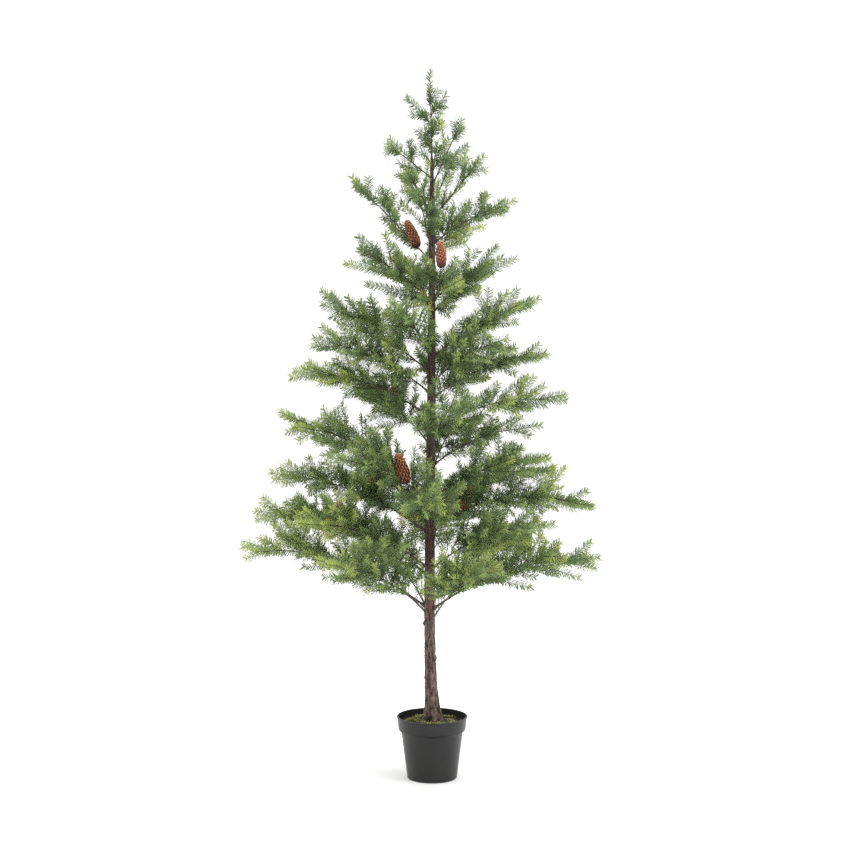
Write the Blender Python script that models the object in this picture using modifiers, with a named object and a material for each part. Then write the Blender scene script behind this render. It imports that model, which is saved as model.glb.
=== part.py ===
"""A potted artificial Alberta spruce, 1.83 m tall: a nursery pot with a mossy filler, a bark-clad
trunk, bare boughs in tiers, and a mass of needle sprays on each bough. Metres, +Z up, the front of
the tree towards -Y, and the origin under the middle of the pot."""

import math
import random

import bmesh
import bpy
import numpy as np
from mathutils import Matrix, Vector

# Faces that meet this flat are one face, and edges sharper than this stay sharp when shaded smooth
FLAT_ANGLE = 1e-3
SHARP_ANGLE = math.radians(40.0)

# Points nearer than this are one point
WELD_DISTANCE = 1e-5

# Gap between pieces that touch, and how deep a twig's root is sunk into what it grows from
CLEARANCE = 0.0003
STEM_GAP = 0.0004
SUNK = 0.0008
UP = Vector((0.0, 0.0, 1.0))

# Pot: a moulded nursery pot with a deep collar and a small lip
POT_SEGMENTS = 32
POT_HEIGHT = 0.163
POT_LIP_RADIUS = 0.0925
POT_COLLAR_TOP_RADIUS = 0.0912
POT_COLLAR_FOOT_RADIUS = 0.0882
POT_COLLAR_DEPTH = 0.0350
POT_STEP = 0.0065
POT_BODY_TOP_RADIUS = 0.0806
POT_BASE_RADIUS = 0.0650
POT_WALL = 0.0028
POT_FLOOR = 0.0040
POT_ROUND = 0.0020

# Filler in the pot, domed and lumpy under its moss, with a flat seat for the trunk
MOSS_EDGE_HEIGHT = 0.1430
MOSS_CROWN_HEIGHT = 0.1500
MOSS_LUMP = 0.0024
MOSS_RINGS = (0.045, 0.060, 0.074)
SEAT_RADIUS = 0.0300

# Trunk stations from the moss to the top of the pole: height, radius, drift to the right
TRUNK_STATIONS = (
    (0.1503, 0.0260, 0.0000),
    (0.1650, 0.0228, 0.0000),
    (0.1950, 0.0192, -0.0010),
    (0.2400, 0.0168, -0.0030),
    (0.3100, 0.0150, -0.0050),
    (0.4400, 0.0138, -0.0070),
    (0.6200, 0.0130, -0.0060),
    (0.8000, 0.0122, -0.0040),
    (0.9800, 0.0112, -0.0020),
    (1.1600, 0.0100, -0.0010),
    (1.3300, 0.0085, 0.0000),
    (1.4800, 0.0068, 0.0000),
    (1.6070, 0.0040, -0.0010),
)
TRUNK_RESOLUTION = 4
FLARE_TOP = 0.2400
FLARE_LOBES = 5
FLARE_DEPTH = 0.13
LEADER_TIP = Vector((-0.005, 0.0, 1.830))

# Tiers from the lowest up: the bare share of each bough, whether that bare limb is a piece of its
# own, how far from upright its sprays may roll, and for each bough its azimuth in degrees, its
# height on the trunk, its reach and its lift. Azimuth 0 points to the right in the front view, and
# 90 to the back.
TIERS = (
    (0.26, True, 72, (
        (-8, 0.437, 0.450, 0.152),
        (50, 0.452, 0.430, 0.150),
        (116, 0.432, 0.440, 0.140),
        (184, 0.443, 0.495, 0.169),
        (236, 0.425, 0.440, 0.190),
        (289, 0.402, 0.420, 0.200),
    )),
    (0.20, True, 100, (
        (168, 0.529, 0.485, 0.164),
        (216, 0.548, 0.410, 0.150),
        (322, 0.545, 0.370, 0.150),
        (84, 0.540, 0.430, 0.140),
    )),
    (0.16, False, 118, (
        (-5, 0.649, 0.430, 0.066),
        (32, 0.670, 0.400, 0.118),
        (178, 0.640, 0.425, 0.164),
        (122, 0.655, 0.400, 0.130),
        (266, 0.640, 0.380, 0.130),
    )),
    (0.14, False, 118, (
        (338, 0.730, 0.330, 0.124),
        (176, 0.750, 0.395, 0.204),
        (75, 0.790, 0.370, 0.130),
        (232, 0.715, 0.370, 0.150),
    )),
    (0.12, False, 118, (
        (14, 0.815, 0.310, 0.106),
        (-4, 0.900, 0.358, 0.090),
        (186, 0.942, 0.365, 0.126),
        (128, 0.870, 0.350, 0.150),
        (282, 0.860, 0.330, 0.140),
    )),
    (0.12, False, 118, (
        (12, 0.992, 0.320, 0.113),
        (207, 1.005, 0.340, 0.150),
        (82, 0.985, 0.320, 0.140),
        (312, 1.030, 0.290, 0.125),
    )),
    (0.12, False, 118, (
        (-8, 1.100, 0.285, 0.155),
        (170, 1.060, 0.290, 0.205),
        (252, 1.090, 0.270, 0.140),
    )),
    (0.12, False, 118, (
        (38, 1.215, 0.215, 0.140),
        (208, 1.245, 0.215, 0.140),
        (278, 1.200, 0.210, 0.150),
        (112, 1.230, 0.230, 0.150),
    )),
    (0.12, False, 118, (
        (180, 1.345, 0.213, 0.225),
        (-5, 1.391, 0.222, 0.115),
        (70, 1.350, 0.190, 0.150),
        (258, 1.370, 0.175, 0.150),
    )),
    (0.12, False, 110, (
        (8, 1.456, 0.140, 0.170),
        (232, 1.470, 0.110, 0.105),
        (118, 1.465, 0.150, 0.140),
        (300, 1.490, 0.125, 0.130),
    )),
    (0.10, False, 100, (
        (-10, 1.540, 0.082, 0.176),
        (178, 1.560, 0.122, 0.096),
        (82, 1.560, 0.100, 0.110),
    )),
)
FACINGS = ("right", "back_right", "back", "back_left", "left", "front_left", "front", "front_right")

# A bough leaves the trunk at about this slope and arches over
START_SLOPE = 0.80
ARCH_OUT = 0.42
BOUGH_POINTS = 5
STEM_POINTS = 4
LIMB_THICK = 0.0036
LIMB_THIN = 0.0020
STEM_END = 0.0012
LIMB_FULL_REACH = 0.45

# Growth of a mass: sprays to both sides of its stem, shorter towards its tip, and one on the tip
SPRAY_SPACING = 0.021
SPRAY_SPREAD = 0.56
SPRAY_TAPER = 0.55
SPRAY_SHORTEST = 0.070
SPRAY_LONGEST = 0.200
SPRAY_ANGLE = (36.0, 60.0)
LEAST_ROLL = 12.0
TERMINAL_LENGTH = 0.140
TERMINAL_SHARE = 0.45
TERMINAL_SUNK = 0.004
SHORTER_TRIES = (1.0, 0.75, 0.55)
ROLL_TRIES = 3
SPRAYS_APART = 0.024
GOLDEN_ANGLE = 137.5
NEARLY_UPRIGHT = 0.95
OWN_SPACE = 0.0035
TRUNK_SPACE = 0.0060

# The exact solver leaves some of these unions open, and this one closes them all
UNION_SOLVER = "MANIFOLD"

# A spray: a toothed blade whose teeth stand for its side twigs, swept forward
BLADE_THICKNESS = 0.0020
NOTCH_WIDTH = 0.0110
BLADE_SLENDERNESS = 0.38
BLADE_WIDEST = 0.058
TOOTH_LENGTHS = (0.150, 0.300)
TOOTH_SWEEP = 1.15
TOOTH_TAPER = 0.40
TIP_SHARE = 0.80

# Cones: tier and place in it, where on the bough, length and how far each leans out
CONES = (
    (9, 0, 0.20, 0.072, 0.42),
    (8, 2, 0.85, 0.066, -0.30),
    (4, 3, 0.30, 0.083, 0.45),
    (2, 1, 0.66, 0.070, 0.35),
    (3, 2, 0.34, 0.070, 0.40),
    (3, 0, 0.22, 0.070, 0.30),
    (5, 3, 0.42, 0.076, 0.35),
    (2, 3, 0.52, 0.078, 0.35),
)
CONE_WIDTH = 0.40
CONE_SEGMENTS = 7
CONE_RINGS = 5

BARK = (0.115, 0.068, 0.046, 1.0)
TWIG_BARK = (0.098, 0.062, 0.044, 1.0)
NEEDLE_GREEN = (0.075, 0.150, 0.035, 1.0)
POT_GREY = (0.042, 0.042, 0.043, 1.0)
MOSS_GREEN = (0.150, 0.190, 0.040, 1.0)


def clear_scene():
    for obj in list(bpy.data.objects):
        bpy.data.objects.remove(obj, do_unlink=True)


def new_collection(name):
    collection = bpy.data.collections.new(name)
    bpy.context.scene.collection.children.link(collection)
    return collection


def plain_material(name, colour, roughness):
    material = bpy.data.materials.new(name)
    material.use_nodes = True
    shader = material.node_tree.nodes["Principled BSDF"]
    shader.inputs["Base Color"].default_value = colour
    shader.inputs["Roughness"].default_value = roughness
    shader.inputs["Metallic"].default_value = 0.0
    return material


def add_object(name, data, collection, material=None):
    obj = bpy.data.objects.new(name, data)
    collection.objects.link(obj)
    if material:
        data.materials.clear()
        data.materials.append(material)
    return obj


def mesh_object(name, source, collection, material=None):
    """A mesh object made from a curve object, its caps welded, in place of the curve."""
    bpy.context.view_layer.update()
    evaluated = source.evaluated_get(bpy.context.evaluated_depsgraph_get())
    mesh = bpy.data.meshes.new_from_object(evaluated)
    mesh.name = name
    place = source.matrix_world.copy()
    bpy.data.objects.remove(source)
    shape = bmesh.new()
    shape.from_mesh(mesh)
    bmesh.ops.remove_doubles(shape, verts=shape.verts, dist=WELD_DISTANCE)
    bmesh.ops.recalc_face_normals(shape, faces=shape.faces)
    bmesh.ops.dissolve_limit(shape, angle_limit=FLAT_ANGLE, verts=shape.verts, edges=shape.edges)
    shape.to_mesh(mesh)
    shape.free()
    obj = add_object(name, mesh, collection, material)
    obj.matrix_world = place
    return obj


def tube(name, points, radii, resolution, collection, material=None):
    """A round limb through the points, as a mesh object."""
    curve = bpy.data.curves.new(name, "CURVE")
    curve.dimensions = "3D"
    curve.bevel_depth = 1.0
    curve.bevel_resolution = resolution
    curve.use_fill_caps = True
    spline = curve.splines.new("POLY")
    spline.points.add(len(points) - 1)
    for slot, point, radius in zip(spline.points, points, radii):
        slot.co = (*point, 1.0)
        slot.radius = radius
    return mesh_object(name, add_object(name + "_curve", curve, collection), collection, material)


def applied(obj, kind, **settings):
    """Adds one modifier with these settings to a mesh object, and applies all that it has."""
    modifier = obj.modifiers.new(kind.title(), kind)
    for key, value in settings.items():
        setattr(modifier, key, value)
    bpy.context.view_layer.update()
    evaluated = obj.evaluated_get(bpy.context.evaluated_depsgraph_get())
    mesh = bpy.data.meshes.new_from_object(evaluated)
    obj.modifiers.clear()
    obj.data = mesh
    return obj


def rounded(obj):
    """Shades a round piece smooth, but for its sharp edges."""
    obj.data.shade_smooth()
    obj.data.set_sharp_from_angle(angle=SHARP_ANGLE)
    return obj


def trunk_at(height):
    """The middle and the radius of the trunk at a height."""
    heights, radii, drifts = zip(*TRUNK_STATIONS)
    middle = Vector((float(np.interp(height, heights, drifts)), 0.0, height))
    return middle, float(np.interp(height, heights, radii))


def trunk(collection, material, name="trunk", extra=0.0):
    """The pole in its bark, with a lobed root flare. With extra, a copy that is thicker all over."""
    points = [Vector((drift, 0.0, height)) for height, _, drift in TRUNK_STATIONS]
    radii = [radius + extra for _, radius, _ in TRUNK_STATIONS]
    pole = tube(name, points, radii, TRUNK_RESOLUTION, collection, material)
    foot = TRUNK_STATIONS[0][0]
    for vertex in pole.data.vertices:
        flare = max(0.0, (FLARE_TOP - vertex.co.z) / (FLARE_TOP - foot))
        turn = math.atan2(vertex.co.y, vertex.co.x)
        swell = 1.0 + FLARE_DEPTH * flare * math.cos(FLARE_LOBES * turn)
        vertex.co.x *= swell
        vertex.co.y *= swell
    return rounded(pole)


def inner_wall(height):
    """The radius of the pot's cavity at a height."""
    collar_foot = POT_HEIGHT - POT_COLLAR_DEPTH
    heights = (POT_FLOOR, collar_foot - POT_STEP, collar_foot, POT_HEIGHT)
    radii = (POT_BASE_RADIUS, POT_BODY_TOP_RADIUS, POT_COLLAR_FOOT_RADIUS, POT_COLLAR_TOP_RADIUS)
    return float(np.interp(height, heights, radii)) - POT_WALL


def turned(name, profile, collection, material):
    """A profile of radius and height pairs, turned about Z."""
    mesh = bpy.data.meshes.new(name)
    edges = [(i, i + 1) for i in range(len(profile) - 1)]
    mesh.from_pydata([(radius, 0.0, height) for radius, height in profile], edges, [])
    obj = add_object(name, mesh, collection, material)
    screw = obj.modifiers.new("Screw", "SCREW")
    screw.steps = screw.render_steps = POT_SEGMENTS
    screw.use_merge_vertices = True
    screw.merge_threshold = WELD_DISTANCE
    screw.use_smooth_shade = False
    return obj


def pot(collection, material):
    collar_foot = POT_HEIGHT - POT_COLLAR_DEPTH
    body_top = collar_foot - POT_STEP
    profile = (
        (0.0, POT_FLOOR),
        (inner_wall(POT_FLOOR), POT_FLOOR),
        (inner_wall(body_top), body_top),
        (inner_wall(collar_foot), collar_foot),
        (inner_wall(POT_HEIGHT), POT_HEIGHT),
        (POT_LIP_RADIUS, POT_HEIGHT),
        (POT_LIP_RADIUS, POT_HEIGHT - POT_ROUND),
        (POT_COLLAR_TOP_RADIUS, POT_HEIGHT - 2 * POT_ROUND),
        (POT_COLLAR_FOOT_RADIUS, collar_foot),
        (POT_BODY_TOP_RADIUS, body_top),
        (POT_BASE_RADIUS, POT_ROUND),
        (POT_BASE_RADIUS - POT_ROUND, 0.0),
        (0.0, 0.0),
    )
    shell = turned("pot", profile, collection, material)
    return rounded(applied(shell, "WELD", merge_threshold=WELD_DISTANCE))


def lump(radius, turn):
    """How far the moss stands up at one place."""
    wave = math.sin(3.0 * turn + 60.0 * radius) + 0.7 * math.sin(7.0 * turn - 90.0 * radius)
    return MOSS_LUMP * wave / 1.7


def filler(collection, material):
    """The plug that weights the pot, its top domed and lumpy with moss round a flat seat."""
    gap = CLEARANCE
    collar_foot = POT_HEIGHT - POT_COLLAR_DEPTH
    floor = POT_FLOOR + gap
    body_top = collar_foot - POT_STEP
    seat_height = TRUNK_STATIONS[0][0] - gap
    edge = inner_wall(MOSS_EDGE_HEIGHT) - gap
    profile = [(0.0, seat_height), (SEAT_RADIUS, seat_height)]
    for ring in MOSS_RINGS:
        share = (ring - SEAT_RADIUS) / (edge - SEAT_RADIUS)
        profile.append((ring, MOSS_CROWN_HEIGHT + share * (MOSS_EDGE_HEIGHT - MOSS_CROWN_HEIGHT)))
    profile += [
        (edge, MOSS_EDGE_HEIGHT),
        (inner_wall(collar_foot) - gap, collar_foot + gap),
        (inner_wall(body_top) - 2 * gap, body_top + gap),
        (inner_wall(floor) - 2 * gap, floor),
        (0.0, floor),
    ]
    plug = turned("pot_filler", profile, collection, material)
    applied(plug, "WELD", merge_threshold=WELD_DISTANCE)
    for vertex in plug.data.vertices:
        radius = math.hypot(vertex.co.x, vertex.co.y)
        if SEAT_RADIUS + gap < radius < edge - gap and vertex.co.z > collar_foot + 2 * gap:
            vertex.co.z += lump(radius, math.atan2(vertex.co.y, vertex.co.x))
    return rounded(plug)


class Bough:
    """One bough's line, from the middle of the trunk to the furthest tip, and its growth."""

    def __init__(self, number, bare, own_limb, widest_roll, azimuth, height, reach, lift):
        turn = math.radians(azimuth)
        facing = FACINGS[round(azimuth / 45.0) % len(FACINGS)]
        self.name = f"{number:02d}_{facing}"
        self.seed = number
        self.bare = bare
        self.own_limb = own_limb
        self.widest_roll = widest_roll
        self.outward = Vector((math.cos(turn), math.sin(turn), 0.0))
        self.root = trunk_at(height)[0]
        slope = max(START_SLOPE, lift / reach)
        self.bend = self.root + ARCH_OUT * reach * (self.outward + slope * UP)
        self.tip = self.root + reach * self.outward + lift * UP
        self.thick = LIMB_THIN + (LIMB_THICK - LIMB_THIN) * min(1.0, reach / LIMB_FULL_REACH)
        self.all_round = False
        self.fit_stem()

    def fit_stem(self):
        """The stem stops short of the tip, where the last spray takes over."""
        length = (self.tip - self.at(self.bare)).length
        last = min(TERMINAL_LENGTH, TERMINAL_SHARE * length)
        self.spray_from = 1.0 - last / self.speed(1.0)

    def at(self, share):
        rest = 1.0 - share
        return rest * rest * self.root + 2.0 * rest * share * self.bend + share * share * self.tip

    def speed(self, share):
        """Metres of line for each unit of share."""
        return 2.0 * ((1.0 - share) * (self.bend - self.root) + share * (self.tip - self.bend)).length

    def radius(self, share):
        if share < self.bare:
            return self.thick + (LIMB_THIN - self.thick) * share / self.bare
        return LIMB_THIN + (STEM_END - LIMB_THIN) * (share - self.bare) / (1.0 - self.bare)

    def stretch(self, first, last, count):
        """Points and radii along a stretch of the line."""
        shares = [first + (last - first) * i / (count - 1) for i in range(count)]
        return [self.at(share) for share in shares], [self.radius(share) for share in shares]

    def on_stem(self, share):
        """The point at a share of the stem of the mass, on its straight runs, and the way it runs."""
        place = min(share, 0.9999) * (STEM_POINTS - 1)
        step = int(place)
        reach = self.spray_from - self.bare
        first, last = (self.at(self.bare + reach * i / (STEM_POINTS - 1)) for i in (step, step + 1))
        return first.lerp(last, place - step), (last - first).normalized()


class Leader(Bough):
    """The upright shoot on top of the pole, with side shoots all round it."""

    def __init__(self, number):
        self.name = f"{number:02d}_leader"
        self.seed = number
        self.bare = 0.0
        self.own_limb = False
        self.widest_roll = 90
        top = TRUNK_STATIONS[-1]
        self.outward = Vector((1.0, 0.0, 0.0))
        self.root = Vector((top[2], 0.0, top[0] + CLEARANCE))
        self.tip = LEADER_TIP
        self.bend = (self.root + self.tip) / 2.0
        self.thick = LIMB_THIN
        self.all_round = True
        self.fit_stem()


def all_boughs():
    made = []
    for bare, own_limb, widest_roll, rows in TIERS:
        for row in rows:
            made.append(Bough(len(made) + 1, bare, own_limb, widest_roll, *row))
    made.append(Leader(len(made) + 1))
    return made


class Crown:
    """Keeps each mass to its own space: nearer to its own bough's line than to any other's."""

    PIECES = 12

    def __init__(self, boughs, cones):
        starts, runs, sizes, owners = [], [], [], []
        for own, bough in enumerate(boughs):
            line = [bough.at(i / self.PIECES) for i in range(self.PIECES + 1)]
            pieces = [(first, last, 0.0) for first, last in zip(line, line[1:])]
            pieces += [cone_axis(bough, *cone) for cone in cones.get(own, ())]
            for first, last, size in pieces:
                starts.append(first)
                runs.append(last - first)
                sizes.append(size)
                owners.append(own)
        self.starts = np.array(starts)
        self.runs = np.array(runs)
        self.sizes = np.array(sizes)
        self.owners = np.array(owners)
        self.squares = (self.runs**2).sum(axis=1)

    def keeps_clear(self, points, own):
        spots = np.array(points)
        offset = spots[:, None, :] - self.starts[None]
        share = np.clip((offset * self.runs).sum(axis=2) / self.squares, 0.0, 1.0)
        away = np.sqrt(((offset - share[:, :, None] * self.runs) ** 2).sum(axis=2)) - self.sizes
        mine = away[:, self.owners == own].min(axis=1)
        others = away[:, self.owners != own].min(axis=1)
        if (mine + OWN_SPACE > others).any():
            return False
        for point in points:
            middle, radius = trunk_at(point.z)
            beside = math.hypot(point.x - middle.x, point.y)
            if point.z < TRUNK_STATIONS[-1][0] and beside < radius + TRUNK_SPACE:
                return False
        return True


class Spray:
    """A twig with its side twigs and needles, all in one plane, as a blade from root to tip."""

    def __init__(self, root, direction, length, normal):
        self.root = root
        self.direction = direction.normalized()
        self.length = length
        self.side = normal.cross(self.direction).normalized()
        self.normal = self.direction.cross(self.side)
        self.teeth = 1 + sum(length > limit for limit in TOOTH_LENGTHS)
        self.half_width = min(BLADE_WIDEST, BLADE_SLENDERNESS * length)

    def outline_points(self):
        """The corners of the blade and the middles between them."""
        corners = [
            self.root + x * self.length * self.direction + y * self.side
            for x, y in blade_outline(self.teeth, self.half_width)
        ]
        follow = corners[1:] + corners[:1]
        return corners[1:] + [(a + b) / 2.0 for a, b in zip(corners, follow)]

    def landmarks(self):
        """Where the spray is widest, and its tip."""
        middle = self.root + 0.6 * self.length * self.direction
        tip = self.root + self.length * self.direction
        return tip, middle + self.half_width * self.side, middle - self.half_width * self.side, middle

    def apart_from(self, other):
        return all((a - b).length > SPRAYS_APART for a in self.landmarks() for b in other.landmarks())


def turned_from(axis, across, angle, roll):
    """The axis tilted towards across by an angle, then rolled about itself. Both in degrees."""
    tilted = Matrix.Rotation(math.radians(angle), 3, axis.cross(across).normalized()) @ axis
    return Matrix.Rotation(math.radians(roll), 3, axis) @ tilted


def grow(bough, own, crown):
    """The mass's sprays by its seeded rule: one on the tip, then side sprays along the stem."""
    rng = random.Random(bough.seed)
    reach = (bough.tip - bough.at(bough.bare)).length
    last = bough.tip - bough.at(bough.spray_from)
    count = max(2, round((reach - last.length) / SPRAY_SPACING))
    end = last.normalized()
    facing = turned_from(end, bough.outward.cross(UP), 90, rng.uniform(60, 120))
    sprays = [Spray(bough.tip - last - end * TERMINAL_SUNK, end, last.length + TERMINAL_SUNK, facing)]
    for step in range(count):
        root, axis = bough.on_stem((step + 0.50) / count)
        level = bough.outward if bough.all_round else UP
        above = (level - axis * level.dot(axis)).normalized()
        full = SPRAY_SPREAD * reach * (1.0 - SPRAY_TAPER * step / count) * rng.uniform(0.85, 1.15)
        full = min(SPRAY_LONGEST, max(SPRAY_SHORTEST, full))
        for turn in range(ROLL_TRIES):
            hand = 1 if (step + turn + bough.seed) % 2 else -1
            roll = hand * rng.uniform(LEAST_ROLL, bough.widest_roll)
            if bough.all_round:
                roll = step * GOLDEN_ANGLE
            direction = turned_from(axis, above, rng.uniform(*SPRAY_ANGLE), roll)
            spray = fitted(root, direction, full, rng.uniform(0, 180), own, crown)
            if spray is not None and all(spray.apart_from(other) for other in sprays):
                sprays.append(spray)
                break
    return sprays


def fitted(root, direction, length, spin, own, crown):
    """The longest of a few tries that stays in the mass's own space, or None."""
    upright = abs(direction.z) > NEARLY_UPRIGHT
    across = direction.cross(Vector((1.0, 0.0, 0.0)) if upright else UP).normalized()
    normal = Matrix.Rotation(math.radians(spin), 3, direction) @ across
    for share in SHORTER_TRIES:
        spray = Spray(root, direction, max(SPRAY_SHORTEST, length * share), normal)
        if crown.keeps_clear(spray.outline_points(), own):
            return spray
    return None


def blade_outline(teeth, half_width):
    """The corners of a unit-long blade, with teeth swept forward on both sides."""
    pitch = 1.0 / (teeth + TIP_SHARE)
    upper = []
    for i in range(teeth):
        width = half_width * (1.0 - TOOTH_TAPER * i / teeth)
        upper.append(((i + TOOTH_SWEEP) * pitch, width))
        upper.append(((i + 1.0) * pitch, NOTCH_WIDTH))
    lower = [(x, -y) for x, y in reversed(upper)]
    return [(0.0, 0.0)] + upper + [(1.0, 0.0)] + lower


def blade_object(spray, collection):
    curve = bpy.data.curves.new("spray", "CURVE")
    curve.dimensions = "2D"
    curve.fill_mode = "BOTH"
    curve.extrude = BLADE_THICKNESS / 2.0
    spline = curve.splines.new("POLY")
    outline = blade_outline(spray.teeth, spray.half_width)
    spline.points.add(len(outline) - 1)
    for slot, (x, y) in zip(spline.points, outline):
        slot.co = (x * (spray.length + SUNK), y, 0.0, 1.0)
    spline.use_cyclic_u = True
    blade = mesh_object("spray", add_object("outline", curve, collection), collection)
    place = Matrix((spray.direction, spray.side, spray.normal)).transposed().to_4x4()
    place.translation = spray.root - spray.direction * SUNK
    blade.matrix_world = place
    return blade


def cone_axis(bough, share, length, lean):
    """The foot and the tip of a cone that stands on its bough, and its half width."""
    axis = (UP + lean * bough.outward).normalized()
    foot = bough.at(share) + axis * (bough.radius(share) - SUNK)
    return foot, foot + axis * length, 0.5 * CONE_WIDTH * length


def cone_object(bough, share, length, lean, collection):
    """A spruce cone as a spindle that stands on its bough, narrower at the tip."""
    foot, tip, half_width = cone_axis(bough, share, length, lean)
    shape = bmesh.new()
    bmesh.ops.create_uvsphere(shape, u_segments=CONE_SEGMENTS, v_segments=CONE_RINGS, radius=0.5)
    for vertex in shape.verts:
        height = vertex.co.z + 0.5
        slim = (1.08 - 0.30 * height) * half_width * 2.0
        vertex.co.x *= slim
        vertex.co.y *= slim
        vertex.co.z = height * length
    mesh = bpy.data.meshes.new("cone")
    shape.to_mesh(mesh)
    shape.free()
    turn = UP.rotation_difference(tip - foot).to_matrix().to_4x4()
    sunk = 2.0 * bough.radius(share) * (tip - foot).normalized()
    mesh.transform(Matrix.Translation(foot - sunk) @ turn)
    return add_object("cone", mesh, collection)


def limb(bough, cutter, collection, material):
    """The bare limb from the trunk's bark to where the mass begins."""
    points, radii = bough.stretch(0.0, bough.bare, BOUGH_POINTS)
    piece = tube(f"bough_{bough.name}", points, radii, 1, collection, material)
    return rounded(applied(piece, "BOOLEAN", operation="DIFFERENCE", object=cutter))


def stem(bough, cutter, collection, material):
    """The stem of a mass: from its bough's tip, or from the trunk where it has no limb piece."""
    name = f"foliage_{bough.name}"
    if bough.all_round:
        points, radii = bough.stretch(0.0, bough.spray_from, STEM_POINTS)
        return tube(name, points, radii, 0, collection, material)
    if bough.own_limb:
        gap = STEM_GAP / bough.speed(bough.bare)
        points, radii = bough.stretch(bough.bare, bough.spray_from, STEM_POINTS)
        points[0] = bough.at(bough.bare + gap)
        return tube(name, points, radii, 0, collection, material)
    points, radii = bough.stretch(bough.bare, bough.spray_from, STEM_POINTS)
    points.insert(0, bough.root)
    radii.insert(0, bough.radius(0.0))
    piece = tube(name, points, radii, 0, collection, material)
    return applied(piece, "BOOLEAN", operation="DIFFERENCE", object=cutter)


def mass(bough, own, crown, cutter, cones, collection, material):
    """One mass of foliage: its stem with every spray and cone fused on."""
    piece = stem(bough, cutter, collection, material)
    parts = new_collection("sprays")
    for spray in grow(bough, own, crown):
        blade_object(spray, parts)
    for share, length, lean in cones:
        cone_object(bough, share, length, lean, parts)
    join = {"operation": "UNION", "solver": UNION_SOLVER, "operand_type": "COLLECTION"}
    applied(piece, "BOOLEAN", collection=parts, **join)
    for obj in list(parts.objects):
        bpy.data.objects.remove(obj)
    bpy.data.collections.remove(parts)
    piece.data.materials.clear()
    piece.data.materials.append(material)
    return piece


def main():
    clear_scene()
    parts = new_collection("potted_alberta_spruce")
    helpers = new_collection("cutters")
    bark = plain_material("bark", BARK, 0.85)
    twig_bark = plain_material("twig_bark", TWIG_BARK, 0.75)
    needles = plain_material("needles", NEEDLE_GREEN, 0.60)
    pot(parts, plain_material("pot_plastic", POT_GREY, 0.45))
    filler(parts, plain_material("moss", MOSS_GREEN, 0.95))
    trunk(parts, bark)
    cutter = trunk(helpers, None, "trunk_clearance", CLEARANCE)
    cutter.hide_render = True
    cutter.display_type = "WIRE"
    boughs = all_boughs()
    cones = {}
    for tier, place, share, length, lean in CONES:
        own = sum(len(rows) for *_, rows in TIERS[: tier - 1]) + place
        cones.setdefault(own, []).append((share, length, lean))
    crown = Crown(boughs, cones)
    for own, bough in enumerate(boughs):
        if bough.own_limb:
            limb(bough, cutter, parts, twig_bark)
        mass(bough, own, crown, cutter, cones.get(own, ()), parts, needles)


main()
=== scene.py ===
# %% [markdown]
# # A potted artificial spruce
# The object is a 1.83 m artificial spruce in a plain nursery pot. Its trunk wears a moulded bark, its
# boughs grow in eleven tiers, and every twig is clad in short polyethylene needles.
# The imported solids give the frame: where the pot, the trunk, each bough and each mass stand. They are
# plain on purpose. Here each one is replaced by a detailed piece in the same place.

import math
import random
from collections import namedtuple

import bmesh
import bpy
import numpy as np
from mathutils import Matrix, Vector, noise


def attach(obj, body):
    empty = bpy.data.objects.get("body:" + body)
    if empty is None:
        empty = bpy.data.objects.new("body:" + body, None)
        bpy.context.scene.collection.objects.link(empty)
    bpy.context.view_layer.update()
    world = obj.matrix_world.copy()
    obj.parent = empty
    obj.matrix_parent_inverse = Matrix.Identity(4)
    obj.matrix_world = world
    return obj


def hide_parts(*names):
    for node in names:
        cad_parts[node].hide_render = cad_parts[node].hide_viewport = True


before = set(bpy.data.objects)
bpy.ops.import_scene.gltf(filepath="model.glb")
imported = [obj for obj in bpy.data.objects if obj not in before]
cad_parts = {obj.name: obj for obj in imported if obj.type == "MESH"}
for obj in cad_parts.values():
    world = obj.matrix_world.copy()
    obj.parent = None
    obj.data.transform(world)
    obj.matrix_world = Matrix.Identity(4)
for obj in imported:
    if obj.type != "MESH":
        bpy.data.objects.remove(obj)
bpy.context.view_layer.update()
UP = Vector((0.0, 0.0, 1.0))
foliage_nodes = sorted(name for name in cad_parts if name.startswith("foliage_"))
limb_nodes = sorted(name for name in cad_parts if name.startswith("bough_"))
print("loaded", len(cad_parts), "solids:", len(foliage_nodes), "masses,", len(limb_nodes), "limbs")

# %% [markdown]
# ## The camera
# A catalogue picture of a tree is taken from well back, so that the crown isn't bent by perspective.
# The distance and the drop of the lens can be worked out from how open the pot's rim looks, and the
# focal length from the height of the tree in the frame.

# %% Place the camera
CAMERA_PLACE = (0.001, -4.2, 1.16)
CAMERA_DROP = math.radians(3.46)
CAMERA_LENS = 67.54

bpy.ops.object.camera_add(location=CAMERA_PLACE, rotation=(math.radians(90.0) - CAMERA_DROP, 0.0, 0.0))
camera = bpy.context.object
camera.name = "studio_camera"
camera.data.lens = CAMERA_LENS
bpy.context.scene.camera = camera
print("camera", round(CAMERA_LENS, 1), "mm at", CAMERA_PLACE)

# %% [markdown]
# ## The studio
# The tree stands on a white sweep in an even, bright room, which leaves only a faint shadow under the
# pot. A white world does most of that. Two large soft boxes and one overhead panel give the crown its
# shape. The standard view keeps white paper white, where the filmic one would turn it grey.

# %% Light the studio
WORLD_STRENGTH = 1.18
FLOOR_SIZE = 60.0
SOFT_BOXES = (
    ("key_box", (2.8, -1.6, 2.4), 2.0, 58.0),
    ("fill_box", (-3.0, -0.4, 1.8), 2.2, 22.0),
    ("top_panel", (0.3, 0.4, 4.2), 2.6, 125.0),
)
AIM = Vector((0.0, 0.0, 0.9))

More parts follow.
